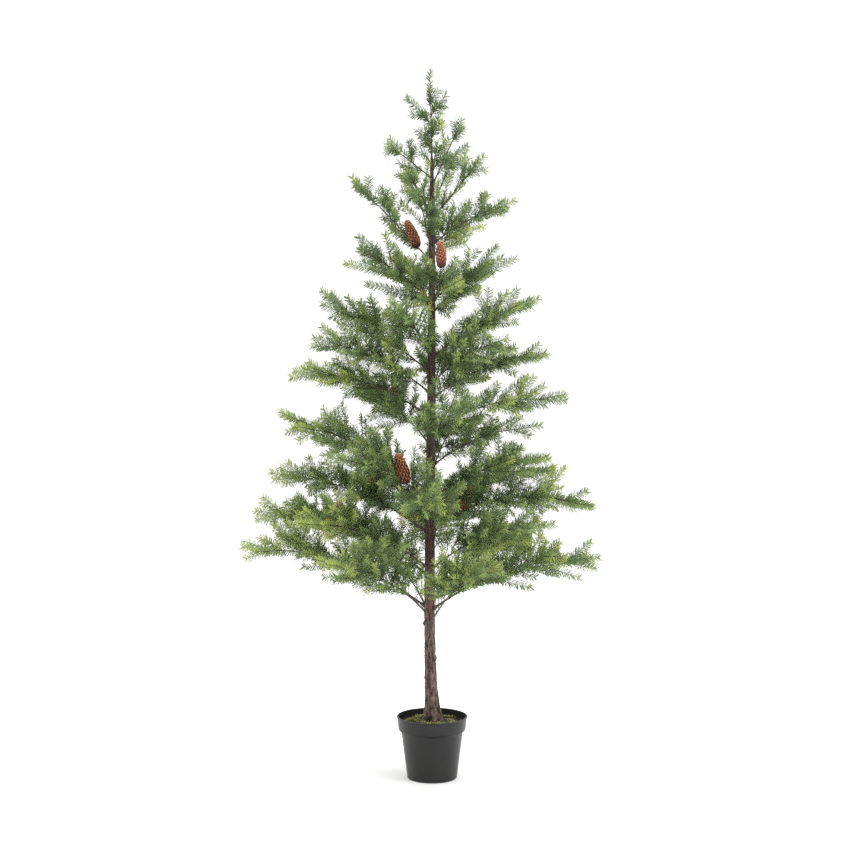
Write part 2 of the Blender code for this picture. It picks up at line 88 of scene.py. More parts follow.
bpy.context.scene.view_settings.view_transform = "Standard"
world = bpy.data.worlds.new("white_room")
world.use_nodes = True
world.node_tree.nodes["Background"].inputs["Color"].default_value = (1.0, 1.0, 1.0, 1.0)
world.node_tree.nodes["Background"].inputs["Strength"].default_value = WORLD_STRENGTH
bpy.context.scene.world = world
for name, place, size, watts in SOFT_BOXES:
    bpy.ops.object.light_add(type="AREA", location=place)
    lamp = bpy.context.object
    lamp.name = name
    lamp.data.size = size
    lamp.data.energy = watts
    lamp.rotation_euler = (AIM - Vector(place)).to_track_quat("-Z", "Y").to_euler()
print("lights:", ", ".join(name for name, *_ in SOFT_BOXES))

# %% [markdown]
# ## Cleaning the picture
# A denoiser takes needles that are thinner than a pixel for noise and smears them, but the smooth pot
# and the paper need it. So it is turned off for the whole picture, and the compositor brings it back
# only away from the foliage. The pot and the paper are grey and the crown is green and brown, so a
# mask of the coloured pixels, grown by a few pixels, keeps the picture there as it was sampled.

# %% Denoise only the pot and the paper
LEAST_COLOUR = 0.16
MASK_GROWTH = 5

scene = bpy.context.scene
scene.cycles.use_denoising = False
scene.use_nodes = True
steps = scene.node_tree
steps.nodes.clear()
sampled = steps.nodes.new("CompositorNodeRLayers")
cleaned = steps.nodes.new("CompositorNodeDenoise")
channels = steps.nodes.new("CompositorNodeSeparateColor")
crown_mask = steps.nodes.new("CompositorNodeMath")
grown_mask = steps.nodes.new("CompositorNodeDilateErode")
blended = steps.nodes.new("CompositorNodeMixRGB")
picture = steps.nodes.new("CompositorNodeComposite")
channels.mode = "HSV"
crown_mask.operation = "GREATER_THAN"
crown_mask.inputs[1].default_value = LEAST_COLOUR
grown_mask.distance = MASK_GROWTH
for source, target in (
    (sampled.outputs["Image"], cleaned.inputs["Image"]),
    (cleaned.outputs[0], channels.inputs[0]),
    (channels.outputs[1], crown_mask.inputs[0]),
    (crown_mask.outputs[0], grown_mask.inputs[0]),
    (grown_mask.outputs[0], blended.inputs[0]),
    (cleaned.outputs[0], blended.inputs[1]),
    (sampled.outputs["Image"], blended.inputs[2]),
    (blended.outputs[0], picture.inputs[0]),
):
    steps.links.new(source, target)
print("compositor:", len(steps.nodes), "nodes")

# %% [markdown]
# ## How materials are written here
# Colours are picked as sRGB hex values, which is how a colour picker shows them, and one function
# turns them to the linear values that the shader wants. Another small function adds a node with its
# settings and links, so that a material reads as a list of what feeds what.

# %% Colour and node helpers
HEX_PLACES = (1, 3, 5)

# A Mix node has sockets of the same name for each kind of data: these are its colours and its result
MIX_A, MIX_B, MIX_RESULT = 6, 7, 2


def linear(hex_colour):
    """An sRGB hex colour as linear red, green, blue and alpha."""
    parts = [int(hex_colour[i : i + 2], 16) / 255.0 for i in HEX_PLACES]
    return tuple(p / 12.92 if p <= 0.04045 else ((p + 0.055) / 1.055) ** 2.4 for p in parts) + (1.0,)


def add_node(tree, kind, settings=None, links=None):
    """Adds a node. A setting is a socket's value, by name or number, or a property. Links feed sockets."""
    made = tree.nodes.new(kind)
    for key, value in (settings or {}).items():
        if isinstance(key, int) or key in made.inputs:
            made.inputs[key].default_value = value
        else:
            setattr(made, key, value)
    for key, source in (links or {}).items():
        tree.links.new(source, made.inputs[key])
    return made


def new_material(name, roughness, ior=1.5):
    """A material with its shader's roughness and IOR set, and its node tree and shader."""
    made = bpy.data.materials.new(name)
    made.use_nodes = True
    shader = made.node_tree.nodes["Principled BSDF"]
    shader.inputs["Roughness"].default_value = roughness
    shader.inputs["IOR"].default_value = ior
    return made, made.node_tree, shader


def set_ramp(ramp, stops):
    """Gives a colour ramp its stops, each a position and a hex colour."""
    elements = ramp.color_ramp.elements
    while len(elements) > len(stops):
        elements.remove(elements[-1])
    while len(elements) < len(stops):
        elements.new(1.0)
    for element, (position, hex_colour) in zip(elements, stops):
        element.position = position
        element.color = linear(hex_colour)


# %% [markdown]
# ## The floor
# The floor is a sheet of white paper. It only has to catch the soft shadow of the pot, so it is a
# plane with its far edge rolled up a little, which hides where the paper ends.

# %% Lay the paper floor
PAPER_ROLL = 0.8
EDGE_REACH = 0.5 * FLOOR_SIZE - 0.01

paper, paper_tree, paper_shader = new_material("white_paper", 0.9)
paper_grain = add_node(paper_tree, "ShaderNodeTexNoise", {"Scale": 900.0, "Detail": 2.0})
paper_tint = add_node(paper_tree, "ShaderNodeValToRGB", links={"Fac": paper_grain.outputs["Fac"]})
set_ramp(paper_tint, ((0.0, "#F7F7F7"), (1.0, "#FBFBFB")))
paper_tree.links.new(paper_tint.outputs["Color"], paper_shader.inputs["Base Color"])

bpy.ops.object.select_all(action="DESELECT")
bpy.ops.mesh.primitive_plane_add(size=FLOOR_SIZE, location=(0.0, 0.0, 0.0))
floor = bpy.context.object
floor.name = "paper_floor"
bpy.ops.object.mode_set(mode="EDIT")
bpy.ops.mesh.select_mode(type="EDGE")
bpy.ops.mesh.select_all(action="DESELECT")
sheet = bmesh.from_edit_mesh(floor.data)
for edge in sheet.edges:
    edge.select_set(all(vertex.co.y > EDGE_REACH for vertex in edge.verts))
bmesh.update_edit_mesh(floor.data)
bpy.ops.mesh.extrude_region_move(TRANSFORM_OT_translate={"value": (0.0, PAPER_ROLL, PAPER_ROLL)})
bpy.ops.object.mode_set(mode="OBJECT")
floor.data.materials.append(paper)
print("floor", FLOOR_SIZE, "m")

# %% [markdown]
# ## Modelling helpers
# An operator acts on all that is selected, so each piece starts with nothing selected. Edges and faces are then
# picked in code by where they are.

# %% Helpers for modelling by hand
NEAR = 2e-4


def start_piece(name):
    """Names the new primitive, which is the only thing selected, and opens it in edit mode."""
    piece = bpy.context.object
    piece.name = name
    piece.data.name = name
    bpy.ops.object.mode_set(mode="EDIT")
    bpy.ops.mesh.select_all(action="SELECT")
    return piece


def pick_edges(piece, wanted):
    """Selects only the edges that wanted accepts, in edit mode."""
    bpy.ops.mesh.select_mode(type="EDGE")
    bpy.ops.mesh.select_all(action="DESELECT")
    shape = bmesh.from_edit_mesh(piece.data)
    for edge in shape.edges:
        edge.select_set(wanted(edge))
    shape.select_flush_mode()
    bmesh.update_edit_mesh(piece.data)


def pick_faces(piece, wanted):
    """Selects only the faces that wanted accepts, in edit mode."""
    bpy.ops.mesh.select_mode(type="FACE")
    bpy.ops.mesh.select_all(action="DESELECT")
    shape = bmesh.from_edit_mesh(piece.data)
    for face in shape.faces:
        face.select_set(wanted(face))
    shape.select_flush_mode()
    bmesh.update_edit_mesh(piece.data)


def rise(rings):
    """Extrudes the selected ring or cap through rings of radius and height, from the first one on."""
    for (radius, height), (wider, higher) in zip(rings, rings[1:]):
        bpy.ops.mesh.extrude_region_move(TRANSFORM_OT_translate={"value": (0.0, 0.0, higher - height)})
        share = wider / radius
        bpy.ops.transform.resize(value=(share, share, 1.0), center_override=(0.0, 0.0, higher))


def finish_piece(piece, material, smooth_angle, slot_name, *replaced):
    """Closes edit mode, merges doubles, shades the piece, and gives it its material and its place in the frame."""
    bpy.ops.mesh.select_all(action="SELECT")
    bpy.ops.mesh.remove_doubles(threshold=1e-6)
    bpy.ops.mesh.normals_make_consistent(inside=False)
    bpy.ops.object.mode_set(mode="OBJECT")
    bpy.ops.object.transform_apply(location=True, rotation=True, scale=True)
    bpy.ops.object.shade_smooth_by_angle(angle=math.radians(smooth_angle))
    hand_over(piece, material, slot_name, *replaced)


def hand_over(piece, material, slot_name, *replaced):
    """Gives a piece its material and its place in the frame."""
    piece.data.materials.clear()
    piece.data.materials.append(material)
    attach(piece, "root")
    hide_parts(*replaced)
    print(piece.name, len(piece.data.vertices), "vertices", len(piece.data.polygons), "faces")


# %% [markdown]
# ## The pot
# The pot is a nursery pot moulded in charcoal polypropylene: a tapered body, a deep collar that
# steps out near the top, and a small lip. It could be a turned profile. A disc is extruded here ring
# by ring instead, up the outside, over the lip and down the inside, as one closed wall, and then the
# edges that a mould rounds are bevelled.

# %% Mould the pot
POT_SIDES = 96
POT_RINGS = (
    (0.0650, 0.0000),
    (0.0806, 0.1215),
    (0.0882, 0.1280),
    (0.0912, 0.1588),
    (0.0925, 0.1600),
    (0.0925, 0.1630),
    (0.0890, 0.1630),
    (0.0882, 0.1618),
    (0.0854, 0.1280),
    (0.0778, 0.1215),
    (0.0622, 0.0040),
)
POT_ROUNDS = (
    (0.0650, 0.0000, 0.0022),
    (0.0806, 0.1215, 0.0010),
    (0.0882, 0.1280, 0.0016),
    (0.0925, 0.1630, 0.0009),
    (0.0925, 0.1600, 0.0008),
    (0.0890, 0.1630, 0.0007),
    (0.0854, 0.1280, 0.0012),
)
ROUND_STEPS = 3
FOOT_INSET = 0.0080
FOOT_RISE = 0.0016


def on_ring(edge, radius, height):
    """Whether an edge lies on the ring of this radius and height."""
    return all(
        abs(vertex.co.z - height) < NEAR and abs(math.hypot(vertex.co.x, vertex.co.y) - radius) < NEAR
        for vertex in edge.verts
    )


bpy.ops.object.select_all(action="DESELECT")
bpy.ops.mesh.primitive_circle_add(
    vertices=POT_SIDES, radius=POT_RINGS[0][0], fill_type="NGON", location=(0.0, 0.0, 0.0)
)
nursery_pot = start_piece("nursery_pot")
rise(POT_RINGS)
for radius, height, size in POT_ROUNDS:
    pick_edges(nursery_pot, lambda edge: on_ring(edge, radius, height))
    bpy.ops.mesh.bevel(offset=size, segments=ROUND_STEPS, affect="EDGES")
pick_faces(nursery_pot, lambda face: face.normal.z < -0.9 and face.calc_center_median().z < NEAR)
bpy.ops.mesh.inset(thickness=FOOT_INSET)
bpy.ops.transform.translate(value=(0.0, 0.0, FOOT_RISE))

# %% [markdown]
# Polypropylene from a spark-eroded mould is satin: a fine grain of about half a millimetre breaks up
# its gloss, and the charcoal is a touch uneven where the melt flowed. Both come from noise, one for
# the bump and one, much wider, for the colour and the roughness.

# %% Charcoal polypropylene
GRAIN_PER_METRE = 1500.0
GRAIN_STRENGTH = 0.05
INSIDE_LOOK = ((0.30, "#121212"), (0.70, "#1C1C1B"))
INSIDE_SPECULAR = 0.20
STEP_SHADE_HEIGHTS = (0.1262, 0.1284)
FLOW_PER_METRE = 22.0

polypropylene, pp_tree, pp_shader = new_material("charcoal_polypropylene", 0.46, 1.49)
pp_place = add_node(pp_tree, "ShaderNodeTexCoord")
pp_flow = add_node(
    pp_tree,
    "ShaderNodeTexNoise",
    {"Scale": FLOW_PER_METRE, "Detail": 4.0},
    {"Vector": pp_place.outputs["Object"]},
)
pp_colour = add_node(pp_tree, "ShaderNodeValToRGB", links={"Fac": pp_flow.outputs["Fac"]})
set_ramp(pp_colour, ((0.30, "#171717"), (0.70, "#1E1E1D")))
pp_gloss = add_node(
    pp_tree,
    "ShaderNodeMapRange",
    {"To Min": 0.34, "To Max": 0.46},
    {"Value": pp_flow.outputs["Fac"]},
)
pp_grain = add_node(
    pp_tree,
    "ShaderNodeTexNoise",
    {"Scale": GRAIN_PER_METRE, "Detail": 2.0},
    {"Vector": pp_place.outputs["Object"]},
)
pp_bump = add_node(
    pp_tree,
    "ShaderNodeBump",
    {"Strength": GRAIN_STRENGTH, "Distance": 0.0002},
    {"Height": pp_grain.outputs["Fac"]},
)
pp_shader.inputs["Specular IOR Level"].default_value = 0.35
pp_tree.links.new(pp_colour.outputs["Color"], pp_shader.inputs["Base Color"])
pp_tree.links.new(pp_gloss.outputs["Result"], pp_shader.inputs["Roughness"])
pp_tree.links.new(pp_bump.outputs["Normal"], pp_shader.inputs["Normal"])
finish_piece(nursery_pot, polypropylene, 35.0, "pot_plastic", "pot")

# %% [markdown]
# The inside of the wall and a thin band on the step under the collar keep the dull skin of the mould. Their colour
# is painted darker, partly for dust and partly as painted shade, so they read almost black. They get the same
# plastic without its gloss.

# %% Unpolished polypropylene inside the pot, with painted shade
inside, inside_tree, inside_shader = new_material("unpolished_shaded_polypropylene", 0.85, 1.49)
inside_place = add_node(inside_tree, "ShaderNodeTexCoord")
inside_flow = add_node(
    inside_tree,
    "ShaderNodeTexNoise",
    {"Scale": 3.0 * FLOW_PER_METRE, "Detail": 4.0},
    {"Vector": inside_place.outputs["Object"]},
)
inside_colour = add_node(inside_tree, "ShaderNodeValToRGB", links={"Fac": inside_flow.outputs["Fac"]})
set_ramp(inside_colour, INSIDE_LOOK)
inside_shader.inputs["Specular IOR Level"].default_value = INSIDE_SPECULAR
inside_tree.links.new(inside_colour.outputs["Color"], inside_shader.inputs["Base Color"])
nursery_pot.data.materials.append(inside)
# Inward faces and the thin band on the step under the collar take this darker material: painted shade, with some
# dust.
for face in nursery_pot.data.polygons:
    out = face.center.x * face.normal.x + face.center.y * face.normal.y
    if out < -0.5 * math.hypot(face.center.x, face.center.y) or STEP_SHADE_HEIGHTS[0] < face.center.z < STEP_SHADE_HEIGHTS[1]:
        face.material_index = 1
print("unpolished faces:", sum(face.material_index for face in nursery_pot.data.polygons))

# %% [markdown]
# ## The moss bed
# The pot is weighted with a plug, and dried moss hides it. The bed is a disc extruded up the inside
# of the pot and then inset again and again into a low dome, whose rings are pushed up and down by
# noise. Real moss is all small threads, so tufts of them are stood on the bed further down.

# %% Raise the moss bed
MOSS_SIDES = 72
PLUG_RINGS = ((0.0614, 0.0043), (0.0770, 0.1218), (0.0851, 0.1283), (0.0860, 0.1420))
DOME_RINGS = (
    (0.0800, 0.1440),
    (0.0740, 0.1455),
    (0.0670, 0.1468),
    (0.0600, 0.1478),
    (0.0530, 0.1486),
    (0.0460, 0.1492),
    (0.0390, 0.1496),
    (0.0320, 0.1499),
)
SEAT = (0.0120, 0.1500)
MOSS_LUMP = 0.0032
MOSS_LUMP_SIZE = 0.011
BED_SEAT_REACH = 0.028

bpy.ops.object.select_all(action="DESELECT")
bpy.ops.mesh.primitive_circle_add(
    vertices=MOSS_SIDES, radius=PLUG_RINGS[0][0], fill_type="NGON", location=(0.0, 0.0, PLUG_RINGS[0][1])
)
moss_bed = start_piece("moss_bed")
rise(PLUG_RINGS + DOME_RINGS + (SEAT,))
bpy.ops.object.mode_set(mode="OBJECT")
bpy.ops.object.transform_apply(location=True, rotation=True, scale=True)


def moss_height(x, y):
    """How far the bed stands above or below its dome at a place."""
    spot = Vector((x, y, 0.0)) / MOSS_LUMP_SIZE
    return MOSS_LUMP * noise.fractal(spot, 0.8, 2.0, 3)


for vertex in moss_bed.data.vertices:
    reach = math.hypot(vertex.co.x, vertex.co.y)
    if BED_SEAT_REACH < reach < PLUG_RINGS[-1][0] - NEAR and vertex.co.z > PLUG_RINGS[-1][1]:
        vertex.co.z += moss_height(vertex.co.x, vertex.co.y)
bpy.ops.object.mode_set(mode="EDIT")

# %% [markdown]
# Under the tufts lies the brown backing of the moss, darker where its bump is low. It is only seen in the gaps, so
# it is painted dark as shade, which is what makes the moss above it look deep.

# %% Moss backing
backing, backing_tree, backing_shader = new_material("moss_backing", 0.95)
backing_place = add_node(backing_tree, "ShaderNodeTexCoord")
backing_noise = add_node(
    backing_tree,
    "ShaderNodeTexNoise",
    {"Scale": 160.0, "Detail": 6.0, "Roughness": 0.7},
    {"Vector": backing_place.outputs["Object"]},
)
backing_colour = add_node(backing_tree, "ShaderNodeValToRGB", links={"Fac": backing_noise.outputs["Fac"]})
# Painted shade: the backing's colours are kept dark for the shaded gaps between the tufts.
set_ramp(backing_colour, ((0.30, "#14120D"), (0.55, "#2E2C1A"), (0.75, "#5A5A2A")))
backing_bump = add_node(
    backing_tree,
    "ShaderNodeBump",
    {"Strength": 0.8, "Distance": 0.002},
    {"Height": backing_noise.outputs["Fac"]},
)
backing_tree.links.new(backing_colour.outputs["Color"], backing_shader.inputs["Base Color"])
backing_tree.links.new(backing_bump.outputs["Normal"], backing_shader.inputs["Normal"])
finish_piece(moss_bed, backing, 80.0, "moss", "pot_filler")

# %% [markdown]
# ## The trunk's line
# The pole drifts a few millimetres from side to side on its way up. Its stations are those of the
# solid: height, radius and drift to the right. Everything that grows asks this line where it starts.

# %% The trunk's stations
TRUNK_STATIONS = (
    (0.1503, 0.0260, 0.0000),
    (0.1650, 0.0228, 0.0000),
    (0.1950, 0.0192, -0.0010),
    (0.2400, 0.0168, -0.0030),
    (0.3100, 0.0150, -0.0050),
    (0.4400, 0.0138, -0.0070),
    (0.6200, 0.0130, -0.0060),
    (0.8000, 0.0122, -0.0040),
    (0.9800, 0.0112, -0.0020),
    (1.1600, 0.0100, -0.0010),
    (1.3300, 0.0085, 0.0000),
    (1.4800, 0.0068, 0.0000),
    (1.6070, 0.0040, -0.0010),
)
FLARE_TOP = 0.2400
FLARE_LOBES = 5
FLARE_DEPTH = 0.13


def trunk_at(height):
    """The middle and the radius of the trunk at a height."""
    heights, radii, drifts = zip(*TRUNK_STATIONS)
    middle = Vector((float(np.interp(height, heights, drifts)), 0.0, height))
    return middle, float(np.interp(height, heights, radii))


# %% [markdown]
# ## The growth rule
# Each bough leaves the trunk at a slope, arches over and ends at its tip. It carries flat sprays of
# twigs to both sides, shorter towards its tip, and each mass keeps to the space nearest its own line.
# This is the rule that made the solids, with the same numbers and the same seeds, so each spray
# grows where its solid stands.

# %% Tiers of boughs
# Bare share, whether the bare limb is a solid of its own, widest roll, and for each bough its
# azimuth in degrees, its height on the trunk, its reach and its lift
TIERS = (
    (0.26, True, 72, (
        (-8, 0.437, 0.450, 0.152),
        (50, 0.452, 0.430, 0.150),
        (116, 0.432, 0.440, 0.140),
        (184, 0.443, 0.495, 0.169),
        (236, 0.425, 0.440, 0.190),
        (289, 0.402, 0.420, 0.200),
    )),
    (0.20, True, 100, (
        (168, 0.529, 0.485, 0.164),
        (216, 0.548, 0.410, 0.150),
        (322, 0.545, 0.370, 0.150),
        (84, 0.540, 0.430, 0.140),
    )),
    (0.16, False, 118, (
        (-5, 0.649, 0.430, 0.066),
        (32, 0.670, 0.400, 0.118),
        (178, 0.640, 0.425, 0.164),
        (122, 0.655, 0.400, 0.130),
        (266, 0.640, 0.380, 0.130),
    )),
    (0.14, False, 118, (
        (338, 0.730, 0.330, 0.124),
        (176, 0.750, 0.395, 0.204),
        (75, 0.790, 0.370, 0.130),
        (232, 0.715, 0.370, 0.150),
    )),
    (0.12, False, 118, (
        (14, 0.815, 0.310, 0.106),
        (-4, 0.900, 0.358, 0.090),
        (186, 0.942, 0.365, 0.126),
        (128, 0.870, 0.350, 0.150),
        (282, 0.860, 0.330, 0.140),
    )),
    (0.12, False, 118, (
        (12, 0.992, 0.320, 0.113),
        (207, 1.005, 0.340, 0.150),
        (82, 0.985, 0.320, 0.140),
        (312, 1.030, 0.290, 0.125),
    )),
    (0.12, False, 118, (
        (-8, 1.100, 0.285, 0.155),
        (170, 1.060, 0.290, 0.205),
        (252, 1.090, 0.270, 0.140),
    )),
    (0.12, False, 118, (
        (38, 1.215, 0.215, 0.140),
        (208, 1.245, 0.215, 0.140),
        (278, 1.200, 0.210, 0.150),
        (112, 1.230, 0.230, 0.150),
    )),
    (0.12, False, 118, (
        (180, 1.345, 0.213, 0.225),
        (-5, 1.391, 0.222, 0.115),
        (70, 1.350, 0.190, 0.150),
        (258, 1.370, 0.175, 0.150),
    )),
    (0.12, False, 110, (
        (8, 1.456, 0.140, 0.170),
        (232, 1.470, 0.110, 0.105),
        (118, 1.465, 0.150, 0.140),
        (300, 1.490, 0.125, 0.130),
    )),
    (0.10, False, 100, (
        (-10, 1.540, 0.082, 0.176),
        (178, 1.560, 0.122, 0.096),
        (82, 1.560, 0.100, 0.110),
    )),
)

# %% [markdown]
# A bough's line is a quadratic curve through three points: its root on the trunk, the bend where it
# arches over, and its tip. The share along it runs from 0 to 1. The leader is the same thing stood
# upright on top of the pole.

# %% A bough's line
START_SLOPE = 0.80
ARCH_OUT = 0.42
STEM_POINTS = 4
LIMB_THICK = 0.0036
LIMB_THIN = 0.0020
STEM_END = 0.0012
LIMB_FULL_REACH = 0.45
TERMINAL_LENGTH = 0.140
TERMINAL_SHARE = 0.45
LEADER_FOOT = Vector((-0.001, 0.0, 1.6073))
LEADER_TIP = Vector((-0.005, 0.0, 1.830))
LEADER_ROLL = 90


class Bough:
    """One bough's line, from the middle of the trunk to the furthest tip, and its growth."""

    def __init__(self, number, bare, own_limb, widest_roll, azimuth, height, reach, lift):
        turn = math.radians(azimuth)
        self.seed = number
        self.bare = bare
        self.own_limb = own_limb
        self.widest_roll = widest_roll
        self.outward = Vector((math.cos(turn), math.sin(turn), 0.0))
        self.root = trunk_at(height)[0]
        slope = max(START_SLOPE, lift / reach)
        self.bend = self.root + ARCH_OUT * reach * (self.outward + slope * UP)
        self.tip = self.root + reach * self.outward + lift * UP
        self.thick = LIMB_THIN + (LIMB_THICK - LIMB_THIN) * min(1.0, reach / LIMB_FULL_REACH)
        self.all_round = False
        self.fit_stem()

    def fit_stem(self):
        """The stem stops short of the tip, where the last spray takes over."""
        length = (self.tip - self.at(self.bare)).length
        last = min(TERMINAL_LENGTH, TERMINAL_SHARE * length)
        self.spray_from = 1.0 - last / self.speed(1.0)

    def at(self, share):
        rest = 1.0 - share
        return rest * rest * self.root + 2.0 * rest * share * self.bend + share * share * self.tip

    def speed(self, share):
        """Metres of line for each unit of share."""
        return 2.0 * ((1.0 - share) * (self.bend - self.root) + share * (self.tip - self.bend)).length

    def radius(self, share):
        if share < self.bare:
            return self.thick + (LIMB_THIN - self.thick) * share / self.bare
        return LIMB_THIN + (STEM_END - LIMB_THIN) * (share - self.bare) / (1.0 - self.bare)

    def on_stem(self, share):
        """The point at a share of the stem of the mass, on its straight runs, and the way it runs."""
        place = min(share, 0.9999) * (STEM_POINTS - 1)
        step = int(place)
        reach = self.spray_from - self.bare
        first, last = (self.at(self.bare + reach * i / (STEM_POINTS - 1)) for i in (step, step + 1))
        return first.lerp(last, place - step), (last - first).normalized()


class Leader(Bough):
    """The upright shoot on top of the pole, with side shoots all round it."""

    def __init__(self, number):
        self.seed = number
        self.bare = 0.0
        self.own_limb = False
        self.widest_roll = LEADER_ROLL
        self.outward = Vector((1.0, 0.0, 0.0))
        self.root = LEADER_FOOT
        self.tip = LEADER_TIP
        self.bend = (self.root + self.tip) / 2.0
        self.thick = LIMB_THIN
        self.all_round = True
        self.fit_stem()


boughs = []
for bare, own_limb, widest_roll, rows in TIERS:
    for row in rows:
        boughs.append(Bough(len(boughs) + 1, bare, own_limb, widest_roll, *row))
boughs.append(Leader(len(boughs) + 1))
print(len(boughs), "lines from", round(boughs[0].root.z, 3), "to", round(LEADER_TIP.z, 3))

# %% [markdown]
# The cones stand on their boughs and lean out. Each row gives the tier, the place in it, where on
# the bough it stands, its length and its lean.

# %% Where the cones stand
CONES = (
    (9, 0, 0.20, 0.072, 0.42),
    (8, 2, 0.85, 0.066, -0.30),
    (4, 3, 0.30, 0.083, 0.45),
    (2, 1, 0.66, 0.070, 0.35),
    (3, 2, 0.34, 0.070, 0.40),
    (3, 0, 0.22, 0.070, 0.30),
    (5, 3, 0.42, 0.076, 0.35),
    (2, 3, 0.52, 0.078, 0.35),
)
CONE_WIDTH = 0.40
SUNK = 0.0008


def cone_axis(bough, share, length, lean):
    """The foot and the tip of a cone that stands on its bough, and its half width."""
    axis = (UP + lean * bough.outward).normalized()
    foot = bough.at(share) + axis * (bough.radius(share) - SUNK)
    return foot, foot + axis * length, 0.5 * CONE_WIDTH * length


cones = {}
for tier, place, share, length, lean in CONES:
    carrier = sum(len(rows) for *_, rows in TIERS[: tier - 1]) + place
    cones.setdefault(carrier, []).append((share, length, lean))
print(len(CONES), "cones on", len(cones), "boughs")

# %% [markdown]
# Real boughs avoid each other because they share the light. Here a spray is kept only where all of
# it is nearer to its own bough's line than to any other's, and clear of the trunk. That test is the
# slow part, so it works on whole arrays of points.

# %% Room in the crown
LINE_PIECES = 12
OWN_SPACE = 0.0035
TRUNK_SPACE = 0.0060


class Crown:
    """Keeps each mass to its own space: nearer to its own bough's line than to any other's."""

    def __init__(self):
        starts, runs, sizes, owners = [], [], [], []
        for own, bough in enumerate(boughs):
            line = [bough.at(i / LINE_PIECES) for i in range(LINE_PIECES + 1)]
            pieces = [(first, last, 0.0) for first, last in zip(line, line[1:])]
            pieces += [cone_axis(bough, *cone) for cone in cones.get(own, ())]
            for first, last, size in pieces:
                starts.append(first)
                runs.append(last - first)
                sizes.append(size)
                owners.append(own)
        self.starts = np.array(starts)
        self.runs = np.array(runs)
        self.sizes = np.array(sizes)
        self.owners = np.array(owners)
        self.squares = (self.runs**2).sum(axis=1)

    def keeps_clear(self, points, own):
        spots = np.array(points)
        offset = spots[:, None, :] - self.starts[None]
        share = np.clip((offset * self.runs).sum(axis=2) / self.squares, 0.0, 1.0)
        away = np.sqrt(((offset - share[:, :, None] * self.runs) ** 2).sum(axis=2)) - self.sizes
        mine = away[:, self.owners == own].min(axis=1)
        others = away[:, self.owners != own].min(axis=1)
        if (mine + OWN_SPACE > others).any():
            return False
        for point in points:
            middle, radius = trunk_at(point.z)
            beside = math.hypot(point.x - middle.x, point.y)
            if point.z < TRUNK_STATIONS[-1][0] and beside < radius + TRUNK_SPACE:
                return False
        return True


crown = Crown()

# %% [markdown]
# A spray is a flat fan of twigs: an axis with side twigs swept forward. Its outline decides whether
# it fits, and its plane, length and width then guide the twigs that are drawn for it.

# %% Sprays
BLADE_SLENDERNESS = 0.38
BLADE_WIDEST = 0.058
NOTCH_WIDTH = 0.0110
TOOTH_LENGTHS = (0.150, 0.300)
TOOTH_SWEEP = 1.15
TOOTH_TAPER = 0.40
TIP_SHARE = 0.80
SPRAYS_APART = 0.024


def blade_outline(teeth, half_width):
    """The corners of a unit-long spray, with teeth swept forward on both sides."""
    pitch = 1.0 / (teeth + TIP_SHARE)
    upper = []
    for i in range(teeth):
        width = half_width * (1.0 - TOOTH_TAPER * i / teeth)
        upper.append(((i + TOOTH_SWEEP) * pitch, width))
        upper.append(((i + 1.0) * pitch, NOTCH_WIDTH))
    lower = [(x, -y) for x, y in reversed(upper)]
    return [(0.0, 0.0)] + upper + [(1.0, 0.0)] + lower


class Spray:
    """A twig with its side twigs and needles, all near one plane."""

    def __init__(self, root, direction, length, normal):
        self.root = root
        self.direction = direction.normalized()
        self.length = length
        self.side = normal.cross(self.direction).normalized()
        self.normal = self.direction.cross(self.side)
        self.teeth = 1 + sum(length > limit for limit in TOOTH_LENGTHS)
        self.half_width = min(BLADE_WIDEST, BLADE_SLENDERNESS * length)

    def outline_points(self):
        """The corners of the outline and the middles between them."""
        corners = [
            self.root + x * self.length * self.direction + y * self.side
            for x, y in blade_outline(self.teeth, self.half_width)
        ]
        follow = corners[1:] + corners[:1]
        return corners[1:] + [(a + b) / 2.0 for a, b in zip(corners, follow)]

    def landmarks(self):
        """Where the spray is widest, and its tip."""
        middle = self.root + 0.6 * self.length * self.direction
        tip = self.root + self.length * self.direction
        return tip, middle + self.half_width * self.side, middle - self.half_width * self.side, middle

    def apart_from(self, other):
        return all((a - b).length > SPRAYS_APART for a in self.landmarks() for b in other.landmarks())


# %% [markdown]
# The rule itself walks along each bough. At every step it draws a roll, an angle and a spin for a
# new spray, tries it full size and then shorter, and keeps the first that fits. The draws come in
# the same order as they did for the solids, or the sprays would grow elsewhere.

# %% Grow the sprays
SPRAY_SPACING = 0.021
SPRAY_SPREAD = 0.56
SPRAY_TAPER = 0.55
SPRAY_SHORTEST = 0.070
SPRAY_LONGEST = 0.200
SPRAY_ANGLE = (36.0, 60.0)
LEAST_ROLL = 12.0
TERMINAL_SUNK = 0.004
SHORTER_TRIES = (1.0, 0.75, 0.55)
ROLL_TRIES = 3
GOLDEN_ANGLE = 137.5
NEARLY_UPRIGHT = 0.95


def turned_from(axis, across, angle, roll):
    """The axis tilted towards across by an angle, then rolled about itself. Both in degrees."""
    tilted = Matrix.Rotation(math.radians(angle), 3, axis.cross(across).normalized()) @ axis
    return Matrix.Rotation(math.radians(roll), 3, axis) @ tilted


def fitted(root, direction, length, spin, own):
    """The longest of a few tries that stays in the mass's own space, or None."""
    upright = abs(direction.z) > NEARLY_UPRIGHT
    across = direction.cross(Vector((1.0, 0.0, 0.0)) if upright else UP).normalized()
    normal = Matrix.Rotation(math.radians(spin), 3, direction) @ across
    for share in SHORTER_TRIES:
        spray = Spray(root, direction, max(SPRAY_SHORTEST, length * share), normal)
        if crown.keeps_clear(spray.outline_points(), own):
            return spray
    return None


